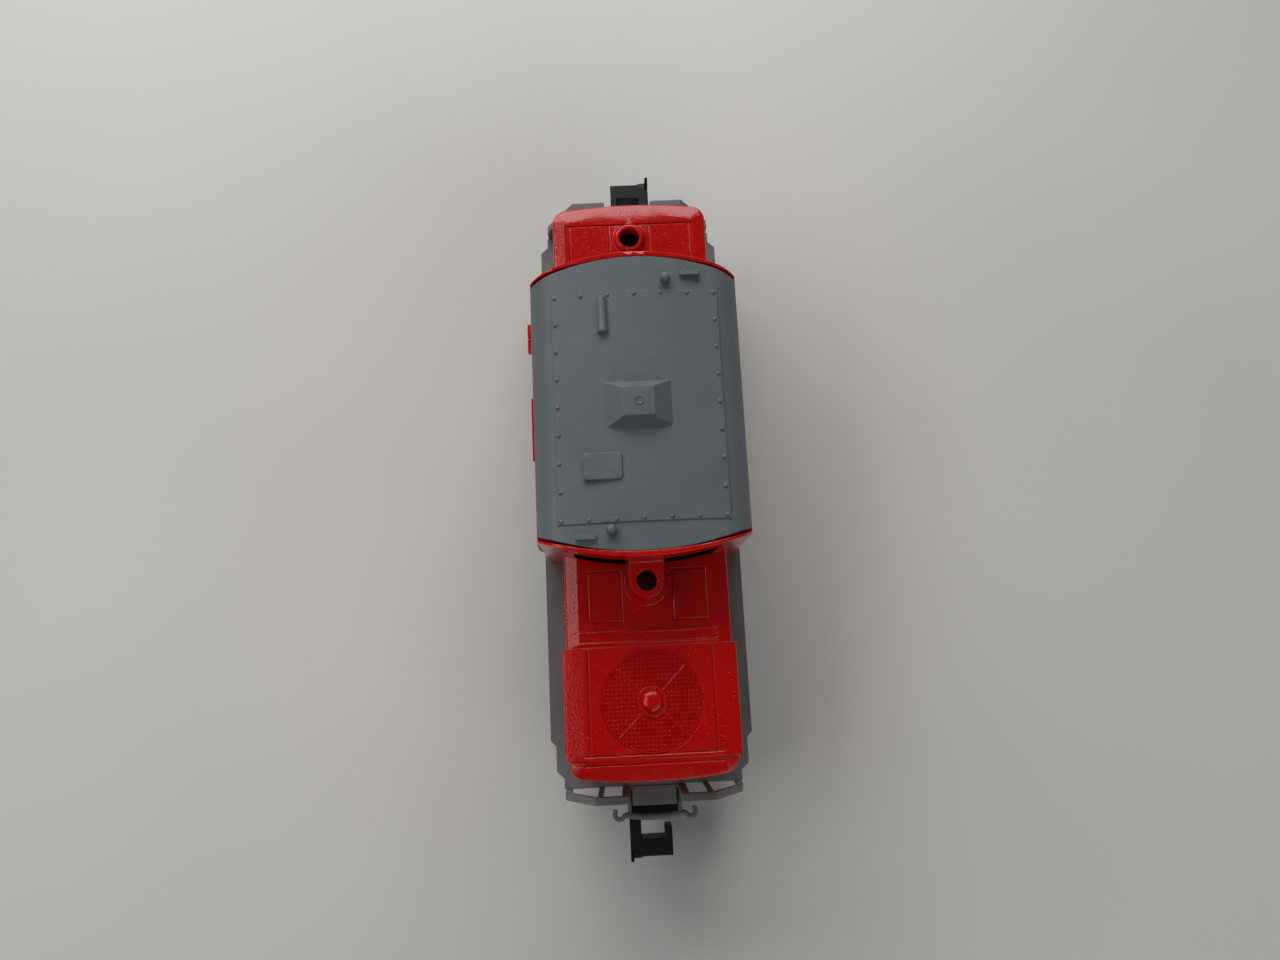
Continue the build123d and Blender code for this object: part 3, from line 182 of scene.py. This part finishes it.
def grey_acetal():
    """Moulded acetal: a mid grey with a slight waxy sheen and faint flow marks."""
    material, tree, surface, place = blank_material("grey moulded acetal")
    flow = grain(tree, place, 3, 3, stretch=(0.4, 1, 1))
    fine = grain(tree, place, 0.15, 2)
    skin = blend_colour(tree, spread(tree, flow, 0, 1), "#6C6B6B", "#757474")
    colour = blend_colour(tree, specks(tree, place, 0.1, 0.08), skin, "#A8A49E")
    tree.links.new(colour, surface.inputs["Base Color"])
    tree.links.new(spread(tree, fine, 0.36, 0.48), surface.inputs["Roughness"])
    surface.inputs["IOR"].default_value = 1.48
    raise_grain(tree, surface, [(fine, 0.008)])
    return material


def black_nylon():
    """Moulded nylon: near black, with a soft low sheen and a slightly rough skin."""
    material, tree, surface, place = blank_material("black moulded nylon")
    cloud = grain(tree, place, 2, 3)
    fine = grain(tree, place, 0.12, 2)
    colour = blend_colour(tree, spread(tree, cloud, 0, 1), "#070707", "#0B0B0B")
    tree.links.new(colour, surface.inputs["Base Color"])
    tree.links.new(spread(tree, fine, 0.45, 0.6), surface.inputs["Roughness"])
    surface.inputs["IOR"].default_value = 1.42
    raise_grain(tree, surface, [(fine, 0.008)])
    return material


def bare_metal(name, light, dark, roughness, size, depth=0.004):
    """A metal whose colour and roughness wander over `size` millimetres."""
    material, tree, surface, place = blank_material(name)
    cloud = grain(tree, place, size * 6, 3)
    marks = grain(tree, place, size, 3)
    colour = blend_colour(tree, spread(tree, cloud, 0, 1), light, dark)
    tree.links.new(colour, surface.inputs["Base Color"])
    rough = spread(tree, marks, roughness - 0.07, roughness + 0.07)
    tree.links.new(rough, surface.inputs["Roughness"])
    surface.inputs["Metallic"].default_value = 1.0
    raise_grain(tree, surface, [(marks, depth)])
    return material


def plain_moulding(name, light, dark, roughness, size):
    """A moulded or pressed non-metal with a fine grain."""
    material, tree, surface, place = blank_material(name)
    cloud = grain(tree, place, size * 12, 3)
    fine = grain(tree, place, size, 2)
    colour = blend_colour(tree, spread(tree, cloud, 0, 1), light, dark)
    tree.links.new(colour, surface.inputs["Base Color"])
    rough = spread(tree, fine, roughness - 0.06, roughness + 0.06)
    tree.links.new(rough, surface.inputs["Roughness"])
    surface.inputs["IOR"].default_value = 1.5
    raise_grain(tree, surface, [(fine, 0.006)])
    return material


def clear_moulding(name, tint, roughness):
    """Clear polystyrene or acrylic with a faint waviness from the mould."""
    material, tree, surface, place = blank_material(name)
    wave = grain(tree, place, 1.5, 1)
    surface.inputs["Base Color"].default_value = linear(tint)
    surface.inputs["Transmission Weight"].default_value = 1.0
    surface.inputs["IOR"].default_value = 1.5
    tree.links.new(spread(tree, wave, roughness, roughness + 0.04), surface.inputs["Roughness"])
    raise_grain(tree, surface, [(wave, 0.004)])
    return material


FINISHES = {
    "red_shell": red_polystyrene(),
    "roof_grey": grey_roof(),
    "frame_grey": grey_acetal(),
    "black_plastic": black_nylon(),
    # glazing: clear with a faint cool tint, its reflections a little wavy
    "clear_window": clear_moulding("clear polystyrene", "#E8ECEC", 0.04),
    # light guides: as clear, a little paler and smoother
    "clear_acrylic": clear_moulding("clear acrylic", "#F2F4F0", 0.03),
    # lamps: clear glass with a yellow cast
    "lamp_glass": clear_moulding("lamp glass", "#F6ECC8", 0.05),
    # die cast zinc, blackened: dull, slightly mottled, with the bloom of the bath
    "zinc_casting": bare_metal("blackened zinc casting", "#5A5A5C", "#454548", 0.5, 0.3),
    # bright turned and pressed steel
    "steel": bare_metal("turned steel", "#BDBDBF", "#A9A9AC", 0.28, 0.12, depth=0.001),
    # nickel plating over turned brass: a warm white with a soft wandering shine
    "nickel_wheel": bare_metal("nickel plated wheel", "#C6C1B6", "#B4AFA4", 0.26, 0.15, depth=0.001),
    # cut brass: pale gold, slightly dulled by the cutter
    "brass": bare_metal("cut brass", "#D8B35C", "#C49A48", 0.3, 0.12),
    # rolled strip: reddish gold with a satin skin
    "bronze": bare_metal("phosphor bronze strip", "#C08A55", "#A87444", 0.34, 0.2),
    # wire under enamel: dark orange-brown
    "copper": bare_metal("enamelled copper", "#B4643A", "#8E4A2A", 0.32, 0.1),
    # unfilled gear plastic: waxy off-white
    "acetal_gear": plain_moulding("natural acetal", "#DEDBD0", "#D2CEC2", 0.42, 0.12),
    # magnets: matt charcoal with a stony grain
    "ferrite": plain_moulding("sintered ferrite", "#232325", "#2C2C2F", 0.55, 0.1),
    # brushes: near black with a fine soft grain
    "carbon": plain_moulding("pressed carbon", "#17171A", "#202024", 0.5, 0.08),
    # traction tyres: flat black, almost no shine
    "rubber_tyre": plain_moulding("soft rubber", "#181818", "#202020", 0.75, 0.1),
    # circuit board: lacquered dark green with a low gloss
    "circuit_laminate": plain_moulding("glass-epoxy laminate", "#2F4A22", "#3A5A2A", 0.35, 0.2),
    # coils and capacitors: brown, baked and slightly dull
    "electronic_parts": plain_moulding("ceramic and ferrite", "#4A3C30", "#5E4A38", 0.45, 0.15),
}
SLOT_OF = {row["node"]: row["material_slot"] for row in frame["record"]["subparts"]}
BODY_OF = {
    node: body for body, nodes in frame["record"]["behaviour"]["bodies"].items() for node in nodes
}


def wear(piece, finish):
    """Gives a piece one material in place of any that it has."""
    piece.data.materials.clear()
    piece.data.materials.append(finish)


# ---------------------------------------------------------------- pieces from the CAD solids
def soften(node, width, angle=28):
    """A merged copy of a CAD node with its sharp edges rounded, which stands for the node.

    Coincident corners are welded and flat faces joined, and faces of more than four corners
    are cut again into triangles. Then every edge sharper than `angle` degrees gets a round of
    `width` millimetres."""
    mesh = frame["nodes"][node].data.copy()
    work = bmesh.new()
    work.from_mesh(mesh)
    bmesh.ops.remove_doubles(work, verts=work.verts, dist=0.002 * MM)
    bmesh.ops.dissolve_limit(
        work, angle_limit=math.radians(0.05), verts=work.verts, edges=work.edges
    )
    bmesh.ops.triangulate(work, faces=[face for face in work.faces if len(face.verts) > 4])
    work.to_mesh(mesh)
    work.free()
    finished(node + "_softened", mesh, node, width, angle)


def finished(name, mesh, node, width=0.0, angle=28):
    """Makes a mesh a piece: rounded edges, even shading, and the body, slot and finish of the
    CAD node that it stands for."""
    mesh.name = name
    piece = bpy.data.objects.new(name, mesh)
    bpy.context.scene.collection.objects.link(piece)
    mesh.shade_smooth()
    mesh.set_sharp_from_angle(angle=math.radians(angle))
    if width:
        rounding = piece.modifiers.new("rounding", "BEVEL")
        rounding.width = width * MM
        rounding.segments = 2
        rounding.limit_method = "ANGLE"
        rounding.angle_limit = math.radians(angle)
        rounding.use_clamp_overlap = False
    shading = piece.modifiers.new("even shading", "WEIGHTED_NORMAL")
    shading.keep_sharp = True
    wear(piece, FINISHES[SLOT_OF[node]])
    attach(piece, BODY_OF[node])
    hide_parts(node)


# ---------------------------------------------------------------- surfaces worked out in numpy
def grid_quads(rows, columns, wrap):
    """Corner numbers of the quads of a grid of points, the last column joined to the first
    where `wrap` is true."""
    row, column = np.meshgrid(
        np.arange(rows - 1), np.arange(columns if wrap else columns - 1), indexing="ij"
    )
    after = (column + 1) % columns
    quads = np.stack(
        [row * columns + column, row * columns + after,
         (row + 1) * columns + after, (row + 1) * columns + column], axis=-1
    )
    return quads.reshape(-1, 4)


def loft(rows):
    """A closed surface from rows of points, each row a closed outline.

    The first and last rows are drawn in to their middles, unless they are the same outline,
    as in a ring."""
    if not np.allclose(rows[0], rows[-1]):
        middles = rows.mean(axis=1, keepdims=True) + np.zeros_like(rows)
        rows = np.concatenate([middles[:1], rows, middles[-1:]])
    return rows.reshape(-1, 3), grid_quads(*rows.shape[:2], True)


def shell_between(outer, inner):
    """A closed sheet between two grids of points of the same size, joined round their edges."""
    rows, columns = outer.shape[:2]
    numbers = np.arange(rows * columns).reshape(rows, columns)
    edge = np.concatenate(
        [numbers[0, :-1], numbers[:-1, -1], numbers[-1, :0:-1], numbers[:0:-1, 0]]
    )
    after = np.roll(edge, -1)
    quads = grid_quads(rows, columns, False)
    wall = np.stack([edge, after, after + rows * columns, edge + rows * columns], axis=-1)
    points = np.concatenate([outer.reshape(-1, 3), inner.reshape(-1, 3)])
    return points, np.concatenate([quads, quads[:, ::-1] + rows * columns, wall])


def skin(surfaces):
    """One mesh of several (points, quads) surfaces in millimetres, facing outwards."""
    points, faces, count = [], [], 0
    for surface_points, quads in surfaces:
        points.append(surface_points)
        faces.append(quads + count)
        count += len(surface_points)
    mesh = bpy.data.meshes.new("skin")
    mesh.from_pydata(np.concatenate(points) * MM, [], np.concatenate(faces).tolist())
    work = bmesh.new()
    work.from_mesh(mesh)
    bmesh.ops.remove_doubles(work, verts=work.verts, dist=1e-4 * MM)
    bmesh.ops.recalc_face_normals(work, faces=work.faces)
    work.to_mesh(mesh)
    work.free()
    return mesh


def turned(profile, centre, around=48):
    """A profile of (radius, height) pairs turned about the upright axis at `centre`.

    A point is (cx + r cos a, cy + r sin a, z), a from 0 to 2 pi."""
    radius, height = np.array(profile, dtype=float).T[:, :, None]
    angle = np.linspace(0, 2 * np.pi, around, endpoint=False)
    return loft(np.stack(
        [centre[0] + radius * np.cos(angle), centre[1] + radius * np.sin(angle),
         height + 0 * angle], axis=-1,
    ))


def swept(path, radius, sides=10, flatten=1.0):
    """A round section carried along a path, made thinner upwards by `flatten`.

    At path point p a point is p + r (u cos a + f v sin a), where u is level and square to
    the path, or the X axis where the path is upright, v is square to both, and r may change
    along the path."""
    path = np.asarray(path, dtype=float)
    along = np.gradient(path, axis=0)
    along /= np.linalg.norm(along, axis=1, keepdims=True)
    level = np.cross(along, (0, 0, 1.0))
    level[np.linalg.norm(level, axis=1) < 0.01] = (1.0, 0, 0)
    level /= np.linalg.norm(level, axis=1, keepdims=True)
    upright = np.cross(level, along)
    angle = np.linspace(0, 2 * np.pi, sides, endpoint=False)[None, :, None]
    radius = np.broadcast_to(radius, len(path))[:, None, None]
    return loft(path[:, None] + radius * (
        level[:, None] * np.cos(angle) + flatten * upright[:, None] * np.sin(angle)
    ))


def rounded_block(centre, layers, corner):
    """A block of rounded rectangles, one for each (half length, half width, height) layer.

    With h the half sizes less the corner radius r, a point is c + h sign(a) + r (cos a, sin a)
    as a goes round the four quarters."""
    quarter = np.linspace(0, np.pi / 2, 5)
    angle = np.concatenate([quarter + turn * np.pi / 2 for turn in range(4)])
    sign_x = np.repeat([1, -1, -1, 1], 5)
    sign_y = np.repeat([1, 1, -1, -1], 5)
    half_x, half_y, height = np.array(layers, dtype=float).T[:, :, None]
    return loft(np.stack(
        [centre[0] + sign_x * (half_x - corner) + corner * np.cos(angle),
         centre[1] + sign_y * (half_y - corner) + corner * np.sin(angle),
         height + 0 * angle], axis=-1,
    ))


def arc_points(centre, radius, start, end, height, count=16):
    """Points on a level arc, (cx + r cos a, cy + r sin a, z), angles in degrees."""
    angle = np.radians(np.linspace(start, end, count))
    return np.stack(
        [centre[0] + radius * np.cos(angle), centre[1] + radius * np.sin(angle),
         np.full(count, float(height))], axis=-1,
    )


def box_in_mm(node):
    """A CAD node's lowest and highest corners in millimetres."""
    return [np.array(corner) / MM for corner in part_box(node)]


def fan_grille():
    """The radiator fan's cover: a thin ring, a square wire mesh, four spokes and a domed hub."""
    low, high = box_in_mm("fan_grille")
    centre, reach = (low + high)[:2] / 2, (high - low)[0] / 2
    floor, rim = low[2], low[2] + 0.5
    inner = reach - 0.16
    level = rim - 0.08
    surfaces = [turned(
        [(reach, floor), (reach, rim - 0.04), (reach - 0.04, rim), (inner + 0.03, rim),
         (inner, rim - 0.03), (inner - 0.02, level - 0.04)], centre, 96,
    )]
    pitch, wire_r, spoke_r = 0.37, 0.075, 0.11
    count = int(inner / pitch)
    for step in range(-count, count + 1):
        offset = step * pitch
        half = math.sqrt(inner**2 - offset**2)
        for turn in (0, 1):
            ends = np.array([[-half, offset], [half, offset]])[:, ::1 - 2 * turn] + centre
            height = level + 0.02 - 0.04 * turn
            surfaces.append(swept([(*ends[0], height), (*ends[1], height)], wire_r, 6))
    for turn in (math.pi / 4, 3 * math.pi / 4):
        arm = np.array([math.cos(turn), math.sin(turn)]) * inner
        ends = [(*(centre - arm), level), (*(centre + arm), level)]
        surfaces.append(swept(ends, spoke_r, 12, 0.9))
    # a flat collar round a dome
    hub_r, dome_r = 1.34, 0.95
    surfaces.append(turned(
        [(hub_r, level - 0.2), (hub_r, level + 0.12), (hub_r - 0.07, level + 0.17),
         (hub_r - 0.22, level + 0.14)], centre,
    ))
    bow = np.linspace(0, np.pi / 2, 8)[:-1]
    crown = high[2] - level - 0.1
    dome = np.stack([dome_r * np.cos(bow), level + 0.1 + crown * np.sin(bow)], axis=1)
    surfaces.append(turned(dome, centre))
    finished("fan_grille_wires", skin(surfaces), "fan_grille", angle=40)


CAB_BOW = 1.8                       # how far the cab's ends bow outwards
CROWN_HALF, CROWN_DROP = 7.0, 0.55  # half width of the roof's shallow crown, and its fall
EAVES_FALL = 1.7                    # from the crown's edge to the eaves
RIM_TUCK = 0.02                     # how far the roof's ends reach into the gap at the red rim


def crown_height(y, top):
    """Height of the shallow crown at a distance y from the middle: top - d (y / h)^2."""
    return top - CROWN_DROP * (np.asarray(y) / CROWN_HALF) ** 2


def roof_profile(half, top, sag):
    """Points over the roof from one eaves to the other: a rounded side, the shallow crown,
    and the other side. A side is its chord plus 4 s t (1 - t) square to it, t from 0 to 1."""
    t = np.linspace(0, 1, 14)[:, None]
    eaves = np.array([half, top - CROWN_DROP - EAVES_FALL])
    edge = np.array([CROWN_HALF, top - CROWN_DROP])
    chord = edge - eaves
    square = np.array([chord[1], -chord[0]]) / np.linalg.norm(chord)
    side = eaves + chord * t + 4 * sag * t * (1 - t) * square
    y = np.linspace(CROWN_HALF, -CROWN_HALF, 41)[1:-1]
    crown = np.stack([y, crown_height(y, top)], axis=1)
    return np.concatenate([side, crown, side[::-1] * (-1, 1)])


def cab_roof():
    """The roof moulding: an arched shell with bowed ends, a riveted sheet, a pyramid vent, a
    hatch, a horn, two lamp stubs and two grab bars."""
    low, high = box_in_mm("cab_roof")
    middle, half = (low + high)[0] / 2, high[1]
    length = (high - low)[0] / 2 - CAB_BOW
    top = low[2] + CROWN_DROP + EAVES_FALL
    outer_line, inner_line = roof_profile(half, top, 0.31), roof_profile(half - 0.8, top - 0.7, 0.28)
    along = np.linspace(-1, 1, 25)[:, None]

    def arched(line, extra):
        """A profile carried along X, x = m + t (l + e + b (1 - (y / h)^2)), t from -1 to 1."""
        y, z = line.T
        x = middle + along * (length + extra + CAB_BOW * (1 - (y / half) ** 2))
        return np.stack([x, y + 0 * x, z + 0 * x], axis=-1)

    surfaces = [shell_between(arched(outer_line, RIM_TUCK), arched(inner_line, 0))]
    # riveted sheet
    sheet_x = (middle - 9.85, middle + 10.6)
    x, y = np.meshgrid(np.linspace(*sheet_x, 12), np.linspace(-7.35, 7.35, 41), indexing="ij")
    sheet_top = crown_height(y, top) + 0.1
    surfaces.append(shell_between(
        np.stack([x, y, sheet_top], axis=-1), np.stack([x, y, sheet_top - 0.4], axis=-1)
    ))
    pitch_x, pitch_y, rivet_r = 2.48, 2.33, 0.2
    columns = middle + 0.37 + pitch_x * np.arange(-4, 5)
    rivets = [(x, side * CROWN_HALF) for x in columns for side in (-1, 1)]
    rivets += [(x, pitch_y * step) for x in (columns[0], columns[-1]) for step in range(-2, 3)]
    bow = np.linspace(0, np.pi / 2, 5)[:-1]
    for x, y in rivets:
        base = crown_height(y, top) + 0.08
        dome = np.stack([rivet_r * np.cos(bow), base + 0.16 * np.sin(bow)], axis=1)
        surfaces.append(turned([(rivet_r, base - 0.2), *dome], (x, y), 12))
    # pyramid vent with a small raised ring
    vent_x, plateau = middle + 0.42, top + 1.1
    surfaces.append(rounded_block((vent_x, 0), [
        (2.12, 2.98, top - 0.5), (2.12, 2.98, top - 0.1), (1.29, 1.35, plateau - 0.03),
        (1.22, 1.28, plateau),
    ], 0.12))
    surfaces.append(turned(
        [(0.4, plateau - 0.1), (0.4, plateau + 0.05), (0.36, plateau + 0.08),
         (0.3, plateau + 0.05), (0.28, plateau + 0.01)], (vent_x, 0), 24,
    ))
    # hatch
    surfaces.append(rounded_block((middle + 5.78, -3.33), [
        (1.18, 1.68, top - 0.6), (1.18, 1.68, top + 0.14), (1.15, 1.65, top + 0.22),
        (1.08, 1.58, top + 0.25),
    ], 0.28))
    # horn, a half-sunk trumpet with cut ends and a wider mouth
    reach = np.array([-1.6, -1.55, 0.9, 1.15, 1.57, 1.6])
    horn = np.stack([middle - 7.65 + reach, -2.85 + 0 * reach, top + 0.1 + 0 * reach], axis=1)
    surfaces.append(swept(horn, np.array([0.36, 0.40, 0.42, 0.47, 0.47, 0.44]), 20))
    # lamp stubs and grab bars at opposite corners
    for side, x in ((1, middle - 10.8), (-1, middle + 11.25)):
        stub = np.stack([0.46 * np.cos(bow), top + 0.35 + 0.44 * np.sin(bow)], axis=1)
        surfaces.append(turned([(0.5, top - 0.6), (0.42, top + 0.1), *stub], (x, side * 2.8), 24))
        surfaces.append(rounded_block((x - side * 0.5, side * 5.0), [
            (0.24, 0.9, top - 0.9), (0.24, 0.9, top + 0.12), (0.2, 0.86, top + 0.18),
        ], 0.16))
    finished("cab_roof_moulding", skin(surfaces), "cab_roof", width=0.06, angle=32)


def guard_bar(end):
    """The bowed bar in front of a coupler, its ends curled outwards, on two stems.

    The bar bows as x = b + s (1 - (y / w)^2), and each curl is about half a circle that ends
    in a short tail turned inwards. The wire swells from the curls to the bar."""
    node = "guard_bar_" + end
    low, high = box_in_mm(node)
    sign = 1 if end == "front" else -1
    outer, back = max(abs(low[0]), abs(high[0])), min(abs(low[0]), abs(high[0]))
    bar_r, curl_r, bend_r, bow = 0.3, 0.22, 0.46, 0.3
    stem_r, stem_y = 0.19, 2.4
    height = (low + high)[2] / 2
    curl = (outer - curl_r - bend_r, high[1] - curl_r - bend_r)
    tail = np.array([[curl[0] - 0.45, curl[1] + bend_r - 0.1, height]])
    right = np.concatenate([arc_points(curl, bend_r, -70, 100, height), tail])
    bar_half = right[0, 1]
    y = np.linspace(-bar_half, bar_half, 21)[1:-1]
    bar_x = right[0, 0] - 0.1 + bow * (1 - (y / bar_half) ** 2)
    bar = np.stack([bar_x, y, height + 0 * y], axis=1)
    path = np.concatenate([right[::-1] * (1, -1, 1), bar, right]) * (sign, 1, 1)
    reach = np.abs(path[:, 1]) / bar_half
    radius = curl_r + (bar_r - curl_r) * np.clip((1.02 - reach) / 0.12, 0, 1)
    surfaces = [swept(path, radius, 12)]
    for side in (-1, 1):
        stem = [(sign * reach_x, side * stem_y, height) for reach_x in (back, outer - 0.6)]
        surfaces.append(swept(stem, stem_r, 10))
    finished(node + "_wire", skin(surfaces), node, angle=50)


def cab_handrails():
    """Wire handrails, four to a side, each an upright with its ends turned in to the cab.

    A bend is a quarter circle, p + b (-s (1 - sin a), -(1 - cos a)) in Y and Z, a from 0 to a
    quarter turn, s being the side."""
    low, high = box_in_mm("cab_handrails")
    wire_r, bend, wall = 0.2, 0.45, 0.7
    rear_door, front_door = 4.2, 4.8
    foot, head = low[2] + 0.4, high[2] - 0.4
    turn = np.linspace(0, np.pi / 2, 7)[:, None]
    surfaces = []
    first, last = low[0] + wire_r, high[0] - wire_r
    for x in (first, first + rear_door, last - front_door, last):
        for side in (-1, 1):
            out = side * (high[1] - wire_r)
            inwards, down = np.array([0, -side, 0]), np.array([0, 0, -1])
            upper = np.array([x, out, head]) + bend * (
                inwards * (1 - np.sin(turn)) + down * (1 - np.cos(turn))
            )
            lower = upper[::-1] * (1, 1, -1) + (0, 0, foot + head)
            ends = np.array([[x, out - side * wall, head], [x, out - side * wall, foot]])
            path = np.concatenate([ends[:1], upper, lower, ends[1:]])
            surfaces.append(swept(path, wire_r, 12))
    finished("cab_handrail_wires", skin(surfaces), "cab_handrails", angle=50)


# ---------------------------------------------------------------- floor, light and camera
def table_top():
    """A pale, slightly glossy laminate table."""
    material, tree, surface, place = blank_material("pale laminate")
    cloud = grain(tree, place, 60, 2)
    fine = grain(tree, place, 0.5, 2)
    colour = blend_colour(tree, spread(tree, cloud, 0, 1), "#D3D1CC", "#D8D6D2")
    tree.links.new(colour, surface.inputs["Base Color"])
    surface.inputs["Roughness"].default_value = 0.42
    raise_grain(tree, surface, [(fine, 0.004)])
    bpy.ops.mesh.primitive_plane_add(size=1.6)
    floor = bpy.context.object
    floor.name = "table_top"
    floor.data.materials.append(material)


def soft_light(name, place, size, power):
    """A white rectangular soft box at `place`, in metres, turned towards the origin."""
    light = bpy.data.lights.new(name, "AREA")
    light.shape = "RECTANGLE"
    light.size, light.size_y = size
    light.energy = power
    holder = bpy.data.objects.new(name, light)
    holder.location = place
    aim = -np.array(place)
    heading = math.atan2(aim[1], aim[0])
    tilt = math.acos(-aim[2] / np.linalg.norm(aim))
    holder.rotation_euler = (0, -tilt, heading)
    bpy.context.scene.collection.objects.link(holder)


def studio():
    """A pale table, a camera nearly straight above it, and three soft panels: a window beyond
    the short hood, a small one on the -Y side, and a large weak one beyond the long hood."""
    table_top()
    soft_light("window_panel", (-0.36, -0.06, 0.24), (0.25, 0.55), 1.75)
    soft_light("side_panel", (0.0, -0.24, 0.30), (0.12, 0.3), 0.26)
    soft_light("room_panel", (0.36, 0.20, 0.26), (0.25, 0.5), 0.45)
    world = bpy.data.worlds.new("room")
    world.use_nodes = True
    world.node_tree.nodes["Background"].inputs[0].default_value = linear("#F4F5F6")
    world.node_tree.nodes["Background"].inputs[1].default_value = 0.06
    bpy.context.scene.world = world
    lens = bpy.data.cameras.new("camera")
    lens.sensor_width = 36
    lens.lens = 27.03
    lens.clip_start = 0.001
    camera = bpy.data.objects.new("camera", lens)
    camera.location = (0.01703, -0.00190, 0.10429)
    camera.rotation_euler = [math.radians(a) for a in (11.059, -0.656, 87.233)]
    bpy.context.scene.collection.objects.link(camera)
    bpy.context.scene.camera = camera
    bpy.context.scene.view_settings.view_transform = "Standard"


# ---------------------------------------------------------------- the whole model
for node, source in frame["nodes"].items():
    wear(source, FINISHES[SLOT_OF[node]])
studio()

soften("body_shell", 0.05)
cab_roof()
soften("walkway_frame", 0.06)
fan_grille()
cab_handrails()
for end in ("front", "rear"):
    soften("end_railing_" + end, 0.08)
    guard_bar(end)
    soften("coupler_hook_" + end, 0.08)
    soften("coupler_pocket_" + end, 0.08)
